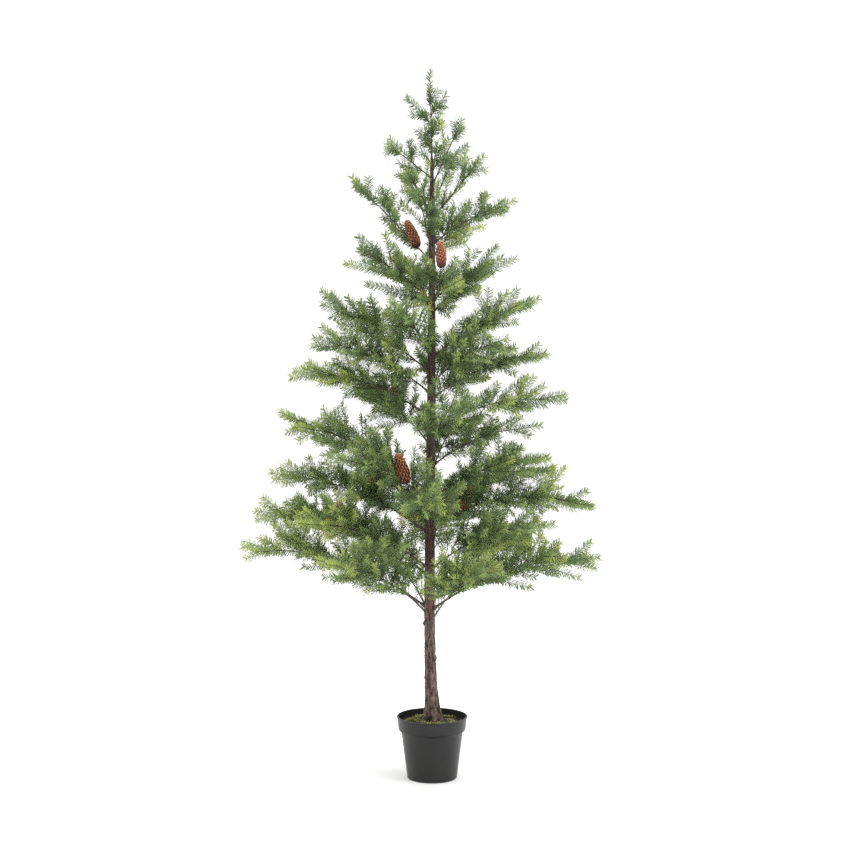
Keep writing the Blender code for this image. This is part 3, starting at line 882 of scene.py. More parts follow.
def grow(bough, own):
    """The mass's sprays by its seeded rule: one on the tip, then side sprays along the stem."""
    rng = random.Random(bough.seed)
    reach = (bough.tip - bough.at(bough.bare)).length
    last = bough.tip - bough.at(bough.spray_from)
    count = max(2, round((reach - last.length) / SPRAY_SPACING))
    end = last.normalized()
    facing = turned_from(end, bough.outward.cross(UP), 90, rng.uniform(60, 120))
    sprays = [Spray(bough.tip - last - end * TERMINAL_SUNK, end, last.length + TERMINAL_SUNK, facing)]
    for step in range(count):
        root, axis = bough.on_stem((step + 0.50) / count)
        level = bough.outward if bough.all_round else UP
        above = (level - axis * level.dot(axis)).normalized()
        full = SPRAY_SPREAD * reach * (1.0 - SPRAY_TAPER * step / count) * rng.uniform(0.85, 1.15)
        full = min(SPRAY_LONGEST, max(SPRAY_SHORTEST, full))
        for turn in range(ROLL_TRIES):
            hand = 1 if (step + turn + bough.seed) % 2 else -1
            roll = hand * rng.uniform(LEAST_ROLL, bough.widest_roll)
            if bough.all_round:
                roll = step * GOLDEN_ANGLE
            direction = turned_from(axis, above, rng.uniform(*SPRAY_ANGLE), roll)
            spray = fitted(root, direction, full, rng.uniform(0, 180), own)
            if spray is not None and all(spray.apart_from(other) for other in sprays):
                sprays.append(spray)
                break
    return sprays


grown = [grow(bough, own) for own, bough in enumerate(boughs)]
spray_metres = sum(spray.length for sprays in grown for spray in sprays)
print(sum(map(len, grown)), "sprays,", round(spray_metres, 1), "m of axis")

# %% [markdown]
# ## Bark
# The trunk's bark stands in long vertical plates with dark cracks between them, and fine crumbs on
# the plates. One function gives the height of that relief anywhere: noise that is squeezed round the
# trunk and stretched along it, folded so that its middle becomes a crack. The same relief, made
# smaller, goes on the boughs. Its height is kept on the mesh, so that the colour can follow it.

# %% Bark relief
PLATE_WIDTH = 0.0060
PLATE_STRETCH = 0.13
CRUMB_SIZE = 0.0034
CRACK_SHARPNESS = 3.0
CRUMB_SHARE = 0.45


def bark_height(spot, plate_width):
    """The bark's relief at a point: about 1 on a plate and 0 in a crack."""
    plates = Vector((spot.x, spot.y, spot.z * PLATE_STRETCH)) / plate_width
    crack = min(1.0, CRACK_SHARPNESS * abs(noise.noise(plates)))
    crumbs = noise.noise(spot / CRUMB_SIZE)
    return crack + CRUMB_SHARE * crumbs


# %% [markdown]
# The trunk starts as a ring on the moss, extruded up from station to station. The long quads between
# stations are then subdivided along the trunk into short ones, so that there are enough points to
# carry the relief, and each point is moved out or in by it. The foot swells into five lobes, and the
# knots are small swellings with a crease round each.

# %% Raise the trunk
TRUNK_SIDES = 56
TRUNK_STEP = 0.0030
RELIEF_FOOT = 0.0017
RELIEF_TOP = 0.0007
ROOT_SPREAD = 0.10
ROOT_GROOVE = 0.20
# Height, turn in degrees, size and how far it stands out
KNOTS = (
    (0.4080, 212.0, 0.0065, 0.0042),
    (0.3170, -22.0, 0.0065, 0.0040),
    (0.2630, 150.0, 0.0055, 0.0026),
    (0.3620, 80.0, 0.0060, 0.0030),
    (0.5900, 285.0, 0.0060, 0.0030),
    (0.9300, 250.0, 0.0050, 0.0028),
    (1.1450, 300.0, 0.0045, 0.0024),
)
# A limb that has grown into the trunk: where it starts and ends, height and turn, its size and height
OLD_LIMB = ((0.4080, 216.0), (0.4560, 282.0), 0.0052, 0.0032)

bpy.ops.object.select_all(action="DESELECT")
foot_height, foot_radius, _ = TRUNK_STATIONS[0]
bpy.ops.mesh.primitive_circle_add(
    vertices=TRUNK_SIDES, radius=foot_radius, fill_type="NGON", location=(0.0, 0.0, foot_height)
)
trunk = start_piece("trunk_bark")
rise([(radius, height) for height, radius, _ in TRUNK_STATIONS])
for low, high in zip(TRUNK_STATIONS, TRUNK_STATIONS[1:]):
    cuts = round((high[0] - low[0]) / TRUNK_STEP) - 1
    pick_edges(
        trunk,
        lambda edge: {round(v.co.z + foot_height, 4) for v in edge.verts} == {round(low[0], 4), round(high[0], 4)},
    )
    bpy.ops.mesh.subdivide(number_cuts=cuts)
bpy.ops.object.mode_set(mode="OBJECT")
bpy.ops.object.transform_apply(location=True, rotation=True, scale=True)
print("trunk ring mesh", len(trunk.data.vertices), "points")

# %% Carve the bark
ATTRIBUTE = "relief"


def knot_height(turn, height, radius):
    """How far the knots lift the bark at a place on the trunk."""
    (low, low_turn), (high, high_turn), size, stands = OLD_LIMB
    share = min(1.0, max(0.0, (height - low) / (high - low)))
    limb_turn = math.radians(low_turn + share * (high_turn - low_turn))
    across = radius * math.remainder(turn - limb_turn, math.tau)
    past = height - low - share * (high - low)
    lift = stands * math.exp(-((across * across + past * past) / size**2))
    for knot_z, knot_turn, size, stands in KNOTS:
        across = radius * math.remainder(turn - math.radians(knot_turn), math.tau)
        away = math.hypot(across, height - knot_z) / size
        lift += stands * (math.exp(-away * away) - 0.35 * math.exp(-((away - 1.7) / 0.35) ** 2))
    return lift


def set_relief(mesh, values):
    """Keeps the relief on the points of a mesh, for its material to read."""
    layer = mesh.attributes.new(ATTRIBUTE, "FLOAT", "POINT")
    layer.data.foreach_set("value", np.asarray(values, dtype=np.float32))


trunk_relief = []
for vertex in trunk.data.vertices:
    height = vertex.co.z
    reach = math.hypot(vertex.co.x, vertex.co.y)
    turn = math.atan2(vertex.co.y, vertex.co.x)
    up = (height - foot_height) / (TRUNK_STATIONS[-1][0] - foot_height)
    flare = max(0.0, (FLARE_TOP - height) / (FLARE_TOP - foot_height))
    groove = (0.5 - 0.5 * math.cos(FLARE_LOBES * turn)) ** 3
    swell = 1.0 + FLARE_DEPTH * flare * math.cos(FLARE_LOBES * turn)
    swell += flare * flare * (ROOT_SPREAD - ROOT_GROOVE * groove)
    relief = bark_height(vertex.co, PLATE_WIDTH * (1.0 - 0.45 * up)) - 0.8 * flare * groove
    depth = RELIEF_FOOT + (RELIEF_TOP - RELIEF_FOOT) * up
    fuller = reach * swell + depth * (relief - 0.75) + knot_height(turn, height, reach)
    middle = trunk_at(height)[0]
    vertex.co.x = middle.x + fuller * math.cos(turn)
    vertex.co.y = fuller * math.sin(turn)
    trunk_relief.append(relief)
set_relief(trunk.data, trunk_relief)
bpy.ops.object.mode_set(mode="EDIT")

# %% [markdown]
# The bark is a foam resin moulded from real bark and painted: grey-brown plates, nearly black cracks
# and a rust-red wash in places. The kept relief picks crack or plate, noise as wide as a plate
# varies the plates, and a much wider noise lays the wash. Fine bump stands for crumbs too small to
# model.

# %% Painted bark
PLATE_TONES = ((0.30, "#44352C"), (0.50, "#604E43"), (0.72, "#8C7A6F"))
BRANCH_TONES = ((0.30, "#3F332C"), (0.5, "#5C4E46"), (0.72, "#75675F"))
CRACK_COLOUR = "#1B110C"
RUST_COLOUR = "#653F2F"
SHADED_POLE = (0.46, 0.60)
SHADED_SHARE = 0.55


def painted_bark(name, tones, tone_scale, rust_share, pole_share):
    """Bark whose cracks follow the kept relief, with a rust-red wash, and darker up in the crown, partly darker
    bark and partly painted shade.
    """
    material, tree, shader = new_material(name, 0.86)
    place = add_node(tree, "ShaderNodeTexCoord")
    along = add_node(
        tree, "ShaderNodeMapping", {"Scale": (1.0, 1.0, 0.3)}, {"Vector": place.outputs["Object"]}
    )
    patches = add_node(
        tree,
        "ShaderNodeTexNoise",
        {"Scale": tone_scale, "Detail": 5.0, "Roughness": 0.65},
        {"Vector": along.outputs["Vector"]},
    )
    plates = add_node(tree, "ShaderNodeValToRGB", links={"Fac": patches.outputs["Fac"]})
    set_ramp(plates, tones)
    wash = add_node(
        tree,
        "ShaderNodeTexNoise",
        {"Scale": 26.0, "Detail": 3.0},
        {"Vector": along.outputs["Vector"]},
    )
    wash_share = add_node(
        tree,
        "ShaderNodeMapRange",
        {"From Min": 0.50, "From Max": 0.62, "To Max": rust_share},
        {"Value": wash.outputs["Fac"]},
    )
    washed = add_node(
        tree,
        "ShaderNodeMix",
        {"data_type": "RGBA", MIX_B: linear(RUST_COLOUR)},
        {"Factor": wash_share.outputs["Result"], MIX_A: plates.outputs["Color"]},
    )
    relief = add_node(tree, "ShaderNodeAttribute", {"attribute_name": ATTRIBUTE})
    crack_share = add_node(
        tree,
        "ShaderNodeMapRange",
        {"From Min": 0.05, "From Max": 0.75},
        {"Value": relief.outputs["Fac"]},
    )
    cracked = add_node(
        tree,
        "ShaderNodeMix",
        {"data_type": "RGBA", MIX_A: linear(CRACK_COLOUR)},
        {"Factor": crack_share.outputs["Result"], MIX_B: washed.outputs[MIX_RESULT]},
    )
    # Painted shade, partly: higher up the pole the colour is mixed towards the crack colour, where the crown shades
    # the bark.
    height = add_node(tree, "ShaderNodeSeparateXYZ", links={"Vector": place.outputs["Object"]})
    pole = add_node(
        tree,
        "ShaderNodeMapRange",
        {"From Min": SHADED_POLE[0], "From Max": SHADED_POLE[1], "To Max": pole_share},
        {"Value": height.outputs["Z"]},
    )
    shaded = add_node(
        tree,
        "ShaderNodeMix",
        {"data_type": "RGBA", MIX_B: linear(CRACK_COLOUR)},
        {"Factor": pole.outputs["Result"], MIX_A: cracked.outputs[MIX_RESULT]},
    )
    crumbs = add_node(
        tree,
        "ShaderNodeTexNoise",
        {"Scale": 500.0, "Detail": 4.0},
        {"Vector": place.outputs["Object"]},
    )
    bump = add_node(
        tree, "ShaderNodeBump", {"Strength": 0.7, "Distance": 0.0006}, {"Height": crumbs.outputs["Fac"]}
    )
    tree.links.new(shaded.outputs[MIX_RESULT], shader.inputs["Base Color"])
    tree.links.new(bump.outputs["Normal"], shader.inputs["Normal"])
    return material


trunk_paint = painted_bark("painted_trunk_bark", PLATE_TONES, 210.0, 0.60, SHADED_SHARE)
branch_paint = painted_bark("painted_branch_bark", BRANCH_TONES, 260.0, 0.20, 0.30)
finish_piece(trunk, trunk_paint, 70.0, "bark", "trunk")

# %% [markdown]
# ## Boughs
# The limbs and the stems inside the masses are one round form each, bent along the bough's line and
# thinner towards the tip, with a collar where they leave the trunk. A curve with a bevel would do
# that, but not the bark on it, so each is swept from arrays: a ring of points at every few
# millimetres, moved out and in by the same bark relief. All of them are joined in one piece.

# %% Sweep a round form along a line
def swept(line, radii, sides):
    """The points and faces of a closed round form along a line, with a ring of sides at each point."""
    line = np.asarray(line, dtype=float)
    ways = np.gradient(line, axis=0)
    ways /= np.linalg.norm(ways, axis=1)[:, None]
    across = np.cross(ways[0], (0.31, 0.17, 0.93))
    turns = np.arange(sides) * (2.0 * np.pi / sides)
    rings = []
    for spot, way, radius in zip(line, ways, radii):
        across = across - way * across.dot(way)
        across /= np.linalg.norm(across)
        level = np.cross(way, across)
        rings.append(spot + radius * (np.outer(np.cos(turns), across) + np.outer(np.sin(turns), level)))
    points = np.vstack(rings + [line[:1], line[-1:]])
    last = len(line) - 1
    foot, top = len(points) - 2, len(points) - 1
    faces = []
    for i in range(sides):
        j = (i + 1) % sides
        faces += [(r * sides + i, r * sides + j, r * sides + sides + j, r * sides + sides + i) for r in range(last)]
        faces.append((foot, j, i))
        faces.append((top, last * sides + i, last * sides + j))
    return points, faces


class Heap:
    """Gathers the points and faces of many small forms for one joined mesh."""

    def __init__(self):
        self.points = []
        self.faces = []
        self.relief = []
        self.count = 0

    def add(self, points, faces, relief=None):
        self.points.append(np.asarray(points))
        self.faces += [tuple(index + self.count for index in face) for face in faces]
        self.relief.append(np.zeros(len(points)) if relief is None else np.asarray(relief))
        self.count += len(points)

    def piece(self, name):
        """The joined mesh as one object at the origin."""
        mesh = bpy.data.meshes.new(name)
        mesh.from_pydata(np.vstack(self.points).tolist(), [], self.faces)
        set_relief(mesh, np.concatenate(self.relief))
        made = bpy.data.objects.new(name, mesh)
        bpy.context.scene.collection.objects.link(made)
        return made


# %% Grow the boughs
BOUGH_SIDES = 10
BOUGH_STEP = 0.0055
BOUGH_PLATE = 0.0034
BOUGH_RELIEF = 0.17
COLLAR_SWELL = 0.85
COLLAR_REACH = 0.012
INTO_TRUNK = 0.0030


def trunk_share(bough):
    """The share of the line at which the bough comes out of the trunk."""
    radius = trunk_at(bough.root.z)[1]
    return max(0.0, radius - INTO_TRUNK) / bough.speed(0.0)


bark_forms = Heap()
for own, bough in enumerate(boughs):
    first = 0.0 if bough.all_round else trunk_share(bough)
    metres = bough.speed(0.5) * (bough.spray_from - first)
    steps = max(6, round(metres / BOUGH_STEP))
    shares = [first + (bough.spray_from - first) * i / steps for i in range(steps + 1)]
    gone = [bough.speed(0.0) * (share - first) for share in shares]
    collar = [1.0 + COLLAR_SWELL * math.exp(-((run / COLLAR_REACH) ** 2)) for run in gone]
    radii = [bough.radius(share) * swell for share, swell in zip(shares, collar)]
    points, faces = swept([bough.at(share) for share in shares], radii, BOUGH_SIDES)
    relief = [bark_height(Vector(point), BOUGH_PLATE) for point in points]
    ring_middles = np.repeat([bough.at(share) for share in shares], BOUGH_SIDES, axis=0)
    away = points[:-2] - ring_middles
    points[:-2] += away * BOUGH_RELIEF * (np.array(relief[:-2])[:, None] - 0.6)
    bark_forms.add(points, faces, relief)
bough_bark = bark_forms.piece("bough_bark")
bough_bark.data.shade_smooth()
hand_over(bough_bark, branch_paint, "twig_bark", *limb_nodes)

# %% [markdown]
# ## Twigs
# Every spray is now drawn out to its finest twigs. Its axis bows a little, side shoots leave it in
# pairs and reach the outline of the solid spray, and one more leaves it above or below the plane,
# because a real spray is never quite flat. Short shoots fill the stems between the sprays, and the
# lowest limbs carry a few forked ones on their bare part.

# %% Draw the shoots
SHOOT_POINTS = 5
AXIS_THICK = 0.0013
SIDE_THICK = 0.0010
SHOOT_END = 0.0005
PAIR_SPACING = 0.048
SIDE_ANGLE = (31.0, 43.0)
PLANE_WOBBLE = 22.0
CURL = 0.08
BOW = 0.035
OFF_PLANE = 0.46
FIRST_PAIR = 0.12
LAST_PAIR = 0.60
TUFT_REACH = 0.011
SIDE_TRIM = 0.004
LEADER_SPREAD = 0.72
# In one band of its height the crown is open: this far round this height, some side shoots are left out
OPEN_HEIGHT = 0.944
OPEN_BAND = 0.050
OPEN_CHANCE = 0.60
# How far apart stem shoots stand, and how much longer they are, on boughs whose middle is below a height
STEM_GROWTH = (
    (0.66, 0.0132, 1.15),
    (0.88, 0.0205, 1.00),
    (1.00, 0.0400, 1.00),
    (1.13, 0.0205, 1.00),
    (1.28, 0.0142, 1.05),
    (1.44, 0.0120, 1.35),
    (2.00, 0.0285, 0.88),
)
LEADER_SPACING = 0.024
LEADER_SHOOTS = 0.50
STEM_SHOOT_LENGTH = (0.066, 0.108)
STEM_SHOOT_ANGLE = (28.0, 42.0)
STEM_SHOOT_ROLL = 60.0
FORKS_PER_LIMB = 3
FORK_LENGTH = (0.055, 0.085)

# A shoot's line, how thick it starts, the share where needles start, its tone and the normal of its comb
Shoot = namedtuple("Shoot", "line thick clad_from tone flat")


def bent_line(start, direction, length, towards, curl):
    """Points from start along direction, bending towards another way by a share of the length."""
    shares = [i / (SHOOT_POINTS - 1) for i in range(SHOOT_POINTS)]
    return [start + length * (share * direction + curl * share * share * towards) for share in shares]


def twigs_of(spray, base, rng, tone, spread):
    """The shoots of one spray: its axis, its paired side shoots and one off its plane."""
    lean = spray.normal if spray.normal.z > 0.0 else -spray.normal
    bow = BOW * rng.uniform(-0.4, 1.0)
    shift = base - spray.root
    trim = TUFT_REACH if spread == 1.0 else 0.0
    tip = spray.root + (spray.length - trim) * spray.direction
    run = tip - base
    along = run.normalized()
    line = []
    for i in range(SHOOT_POINTS + 2):
        share = i / (SHOOT_POINTS + 1)
        line.append(base + share * run + bow * run.length * 4.0 * share * (share - 1.0) * lean)
    made = [Shoot(line, AXIS_THICK, 0.10, tone, spray.normal)]
    pairs = max(1, round(LAST_PAIR * spray.length / PAIR_SPACING))
    for pair in range(pairs):
        place = FIRST_PAIR + (LAST_PAIR - FIRST_PAIR) * pair / pairs + rng.uniform(0.0, 0.08)
        start = line_at(line, place)
        room = 1.0 - TOOTH_TAPER * place
        for hand in (-1.0, 1.0):
            if abs(start.z - OPEN_HEIGHT) < OPEN_BAND and rng.random() < OPEN_CHANCE:
                continue
            angle = math.radians(rng.uniform(*SIDE_ANGLE))
            wobble = math.radians(rng.uniform(-PLANE_WOBBLE, PLANE_WOBBLE))
            outward = math.cos(wobble) * hand * spray.side + math.sin(wobble) * spray.normal
            length = spread * spray.half_width * room * rng.uniform(0.9, 1.12) / math.sin(angle) - SIDE_TRIM
            direction = math.cos(angle) * along + math.sin(angle) * outward
            side_line = bent_line(start, direction, length, along, CURL)
            made.append(Shoot(side_line, SIDE_THICK, 0.06, tone, spray.normal))
    angle = math.radians(rng.uniform(*SIDE_ANGLE))
    direction = math.cos(angle) * along + math.sin(angle) * rng.choice((-1.0, 1.0)) * spray.normal
    length = spread * OFF_PLANE * spray.length * rng.uniform(0.8, 1.1)
    start = line_at(line, rng.uniform(0.15, 0.45))
    side_line = bent_line(start, direction, length, along, CURL)
    made.append(Shoot(side_line, SIDE_THICK, 0.06, tone, spray.side))
    return made


def line_at(line, share):
    """The point at a share of a line of points."""
    place = share * (len(line) - 1)
    step = min(int(place), len(line) - 2)
    return line[step].lerp(line[step + 1], place - step)


# %% [markdown]
# Artificial foliage is moulded in a few greens and mixed on each branch: a deep green inside, two middle greens, a
# fresh yellow-green near the ends and an odd straw-yellow sprig. The deep green inside is partly painted shade
# within the crown. So one tone is dealt out to each spray, by chance but lighter towards the outside, and the last
# quarter of a shoot is one tone lighter than the rest.

# %% Deal out tones and draw every twig
TONES = (
    ("needles_deep", "#50643A"),
    ("needles_spruce", "#657B48"),
    ("needles_leaf", "#7F9252"),
    ("needles_fresh", "#96A352"),
    ("needles_straw", "#A9A33E"),
)
STRAW = len(TONES) - 1
STRAW_CHANCE = 0.012
OUTSIDE_REACH = 0.34


def tone_for(spray, rng):
    """The tone dealt to a spray: lighter further from the trunk, partly as painted shade nearer it, now and then
    straw-yellow.
    """
    if rng.random() < STRAW_CHANCE:
        return STRAW - 1
    tip = spray.root + spray.length * spray.direction
    outside = min(1.0, math.hypot(tip.x, tip.y) / OUTSIDE_REACH)
    return min(2, int(rng.uniform(0.0, 1.6) + 1.0 * outside))


shoots = []
for own, (bough, sprays) in enumerate(zip(boughs, grown)):
    rng = random.Random(1000 + bough.seed)
    reach = bough.spray_from - bough.bare
    for index, spray in enumerate(sprays):
        base = bough.at(bough.spray_from)
        if index > 0:
            shares = [bough.bare + reach * i / 60 for i in range(61)]
            base = min((bough.at(share) for share in shares), key=lambda spot: (spot - spray.root).length)
        spread = LEADER_SPREAD if bough.all_round else 1.0
        shoots += twigs_of(spray, base, rng, tone_for(spray, rng), spread)
    metres = bough.speed(0.5) * reach
    spacing, longer = next(growth for top, *growth in STEM_GROWTH if bough.at(0.6).z < top)
    if bough.all_round:
        spacing, longer = LEADER_SPACING, LEADER_SHOOTS
    for step in range(int(metres / spacing)):
        share = bough.bare + reach * (step + 0.5) * spacing / metres
        ahead = (bough.at(share + 0.01) - bough.at(share)).normalized()
        above = (UP - ahead * ahead.z).normalized() if not bough.all_round else bough.outward
        roll = 90.0 * (-1.0) ** step + rng.uniform(-STEM_SHOOT_ROLL, STEM_SHOOT_ROLL)
        direction = turned_from(ahead, above, rng.uniform(*STEM_SHOOT_ANGLE), roll)
        line = bent_line(bough.at(share), direction, longer * rng.uniform(*STEM_SHOOT_LENGTH), ahead, CURL)
        # Shoots on the stems, inside the crown, lean to the darker tones, partly as painted shade.
        shoots.append(Shoot(line, SIDE_THICK, 0.08, rng.choice((0, 0, 1, 1, 2)), ahead.cross(direction)))
    if bough.own_limb:
        for fork in range(FORKS_PER_LIMB):
            share = bough.bare * (0.55 + 0.20 * fork)
            ahead = (bough.at(share + 0.01) - bough.at(share)).normalized()
            above = (UP - ahead * ahead.z).normalized()
            direction = turned_from(ahead, above, rng.uniform(45, 65), rng.uniform(-60, 60))
            line = bent_line(bough.at(share), direction, rng.uniform(*FORK_LENGTH), UP, 0.06)
            shoots.append(Shoot(line, AXIS_THICK, 0.42, 1, ahead.cross(direction)))

# %% [markdown]
# Of the eight cones, three stand clear in the picture, and the others are lost among shoots. So a ring
# of shoots rises round each of those five, and shoots that pass before the three are left out, as are
# those that would hang below the bare right-hand limb. What is left out is judged from the camera, but
# it is a small opening in a dense crown, so it looks natural from other sides too.

# %% Open the view of three cones
SHOWN_CONES = 3
SIGHT_MARGIN = 0.002
LIMB_GAP = (0.022, 0.135)
LIMB_GAP_LOW = 0.455
LIMB_GAP_SLOPE = 0.36
SCREEN_SHOOTS = 10
SCREEN_TILT = (22.0, 34.0)
SCREEN_LENGTH = (1.10, 1.45)
FRONT = Vector((0.0, -1.0, 0.0))
EYE = np.array(CAMERA_PLACE)

cone_places = []
for tier, place, share, length, lean in CONES:
    carrier = boughs[sum(len(rows) for *_, rows in TIERS[: tier - 1]) + place]
    cone_places.append((carrier.at(share), *cone_axis(carrier, share, length, lean)))


def seen_at(points, depth):
    """Where points appear, as x and z on an upright plane at this depth, seen from the camera."""
    ratio = (depth - EYE[1]) / (points[:, 1] - EYE[1])
    return (EYE + (points - EYE) * ratio[:, None])[:, [0, 2]]


def in_the_way(points):
    """Which points stand before a cone in the open, or below the bare right-hand limb."""
    x, z = seen_at(points, 0.0).T
    blocked = (x > LIMB_GAP[0]) & (x < LIMB_GAP[1]) & (z < LIMB_GAP_LOW + LIMB_GAP_SLOPE * x)
    for _, foot, tip, half_width in cone_places[:SHOWN_CONES]:
        seen = seen_at(points, 0.5 * (foot.y + tip.y))
        low, high = (np.array((end.x, end.z)) for end in (foot, tip))
        share = np.clip((seen - low) @ (high - low) / ((high - low) @ (high - low)), 0.0, 1.0)
        off = np.linalg.norm(seen - low - share[:, None] * (high - low), axis=1)
        blocked |= (off < half_width + SIGHT_MARGIN) & (points[:, 1] < foot.y)
    return blocked


shoots = [
    shoot
    for shoot in shoots
    if shoot.thick == AXIS_THICK or not in_the_way(np.array(shoot.line)).any()
]
rng = random.Random(2000)
for start, foot, tip, _ in cone_places[SHOWN_CONES:]:
    up = (tip - foot).normalized()
    front = (FRONT - up * up.dot(FRONT)).normalized()
    for step in range(SCREEN_SHOOTS):
        roll = 360.0 * step / SCREEN_SHOOTS + rng.uniform(-12.0, 12.0)
        direction = turned_from(up, front, rng.uniform(*SCREEN_TILT), roll)
        length = (tip - foot).length * rng.uniform(*SCREEN_LENGTH)
        line = bent_line(start, direction, length, up, CURL)
        shoots.append(Shoot(line, SIDE_THICK, 0.05, rng.choice((0, 1, 1)), up - direction * up.dot(direction)))
shoot_metres = sum((shoot.line[-1] - shoot.line[0]).length for shoot in shoots)
print(len(shoots), "shoots,", round(shoot_metres, 1), "m")

# %% [markdown]
# The bare wood of all these shoots is one joined mesh: a four-sided form along each line, which at
# this size is as round as the eye can see.

# %% Turn the shoots into twigs
TWIG_SIDES = 4

twig_forms = Heap()
for shoot in shoots:
    count = len(shoot.line)
    radii = [shoot.thick + (SHOOT_END - shoot.thick) * i / (count - 1) for i in range(count)]
    twig_forms.add(*swept(shoot.line, radii, TWIG_SIDES))
twigs = twig_forms.piece("twigs")
twigs.data.shade_smooth()

# %% [markdown]
# Artificial twigs are wire wound with dark brown tape. Close up the tape shows as a slightly uneven
# brown with no shine.

# %% Wound twig tape
tape, tape_tree, tape_shader = new_material("brown_twig_tape", 0.78)
tape_place = add_node(tape_tree, "ShaderNodeTexCoord")
tape_noise = add_node(
    tape_tree,
    "ShaderNodeTexNoise",
    {"Scale": 350.0, "Detail": 3.0},
    {"Vector": tape_place.outputs["Object"]},
)
tape_colour = add_node(tape_tree, "ShaderNodeValToRGB", links={"Fac": tape_noise.outputs["Fac"]})
set_ramp(tape_colour, ((0.3, "#30271C"), (0.7, "#4E4130")))
tape_tree.links.new(tape_colour.outputs["Color"], tape_shader.inputs["Base Color"])
hand_over(twigs, tape, "twig_bark", *foliage_nodes)

# %% [markdown]
# ## Needles
# A needle is 14 to 19 mm long and stiff, with straight sides, a pointed tip and a keel under it. Six
# points and five faces give it that outline from above and a slim wedge from the side, and it is
# closed. It is about half as wide again as a real one, so that fewer of them clothe the twig. They are
# made shoot by shoot as arrays. Moulded needles stand in combs on the two sides of a twig, so they take
# the two sides in turn, each at a chance angle round the comb's plane. That plane is nearly upright,
# with a share of the spray's own, and the blades are turned most of the way into it. They lean forward,
# and closer still in the tuft at the end.

# %% Clad the shoots in needles
NEEDLES_PER_METRE = 900.0
NEEDLE_LENGTH = 0.0172
NEEDLE_WIDTH = 0.00175
NEEDLE_DEPTH = 0.00060
SHOULDERS = (0.12, 0.78)
NEEDLE_LEAN = math.radians(59.0)
TUFT_LEAN = math.radians(36.0)
TUFT_FROM = 0.90
TIP_CROWDING = 1.22
COMB_SPREAD = math.radians(56.0)
FLAT_SHARE = 0.30
BLADE_TWIST = math.radians(38.0)
LIGHTER_FROM = 0.76
NEEDLE_ENDS = np.array(((0, 2, 1), (3, 4, 5)))
NEEDLE_SIDES = np.array(((1, 2, 4, 3), (0, 1, 3, 5), (0, 5, 4, 2)))


def needles_on(shoot, rng):
    """The points of all the needles on one shoot, six for each, and each needle's tone."""
    line = np.array(shoot.line)
    steps = np.diff(line, axis=0)
    runs = np.linalg.norm(steps, axis=1)
    gone = np.concatenate(([0.0], np.cumsum(runs)))
    clad = gone[-1] * (1.0 - shoot.clad_from)
    count = max(3, round(clad * NEEDLES_PER_METRE))
    share = 1.0 - (1.0 - (np.arange(count) + rng.uniform(0.2, 0.8, count)) / count) ** TIP_CROWDING
    place = gone[-1] * shoot.clad_from + clad * share
    base = np.stack([np.interp(place, gone, line[:, axis]) for axis in range(3)], axis=1)
    step = np.clip(np.searchsorted(gone, place) - 1, 0, len(steps) - 1)
    along = steps[step] / runs[step, None]
    upright = np.cross(along, UP)
    facing = np.where(upright @ np.array(shoot.flat) < 0.0, -1.0, 1.0)
    across = np.cross(along, FLAT_SHARE * np.array(shoot.flat) + facing[:, None] * upright)
    across /= np.linalg.norm(across, axis=1)[:, None]
    level = np.cross(along, across)
    turn = np.pi * np.arange(count) + rng.uniform(-COMB_SPREAD, COMB_SPREAD, count)
    outward = np.cos(turn)[:, None] * across + np.sin(turn)[:, None] * level
    tuft = np.clip((share - TUFT_FROM) / (1.0 - TUFT_FROM), 0.0, 1.0)
    lean = NEEDLE_LEAN + (TUFT_LEAN - NEEDLE_LEAN) * tuft + rng.uniform(-0.14, 0.14, count)
    way = np.cos(lean)[:, None] * along + np.sin(lean)[:, None] * outward
    edge = np.cross(along, outward)
    beside = math.cos(BLADE_TWIST) * np.cross(way, edge) + math.sin(BLADE_TWIST) * edge
    above = np.cross(way, beside)
    length = NEEDLE_LENGTH * rng.uniform(0.82, 1.10, count) * (1.0 - 0.15 * tuft)
    half = beside * (0.5 * NEEDLE_WIDTH)
    corners = [base]
    for shoulder in SHOULDERS:
        waist = base + way * (shoulder * length)[:, None] - above * NEEDLE_DEPTH
        corners += [waist - half, waist + half]
    corners.append(base + way * length[:, None])
    tones = shoot.tone + (share > LIGHTER_FROM)
    return np.stack(corners, axis=1), tones


def joined_needles(name, needles):
    """One mesh object of needles, each of them six points."""
    starts = 6 * np.arange(len(needles))[:, None, None]
    ends = (starts + NEEDLE_ENDS).reshape(-1, 3)
    sides = (starts + NEEDLE_SIDES).reshape(-1, 4)
    mesh = bpy.data.meshes.new(name)
    mesh.from_pydata(needles.reshape(-1, 3).tolist(), [], ends.tolist() + sides.tolist())
    made = bpy.data.objects.new(name, mesh)
    bpy.context.scene.collection.objects.link(made)
    return made


needle_rng = np.random.default_rng(47)
clad_shoots = [needles_on(shoot, needle_rng) for shoot in shoots]
all_needles = np.concatenate([points for points, _ in clad_shoots])
all_tones = np.concatenate([tones for _, tones in clad_shoots])
free = ~(in_the_way(all_needles[:, 0]) | in_the_way(all_needles[:, -1]))
all_needles = all_needles[free]
all_tones = all_tones[free]
print(len(all_needles), "needles")

# %% [markdown]
# The needles are joined tone by tone, in pieces that each stay under 200,000 triangles. Moulded
# polyethylene has an IOR of 1.51. The grain of its mould breaks the gloss up to a soft sheen, so the
# roughness is high and the specular level a little low.

# %% Join the needles by tone
NEEDLES_A_PIECE = 24000
POLYETHYLENE_IOR = 1.51
NEEDLE_ROUGHNESS = 0.64
NEEDLE_SPECULAR = 0.40

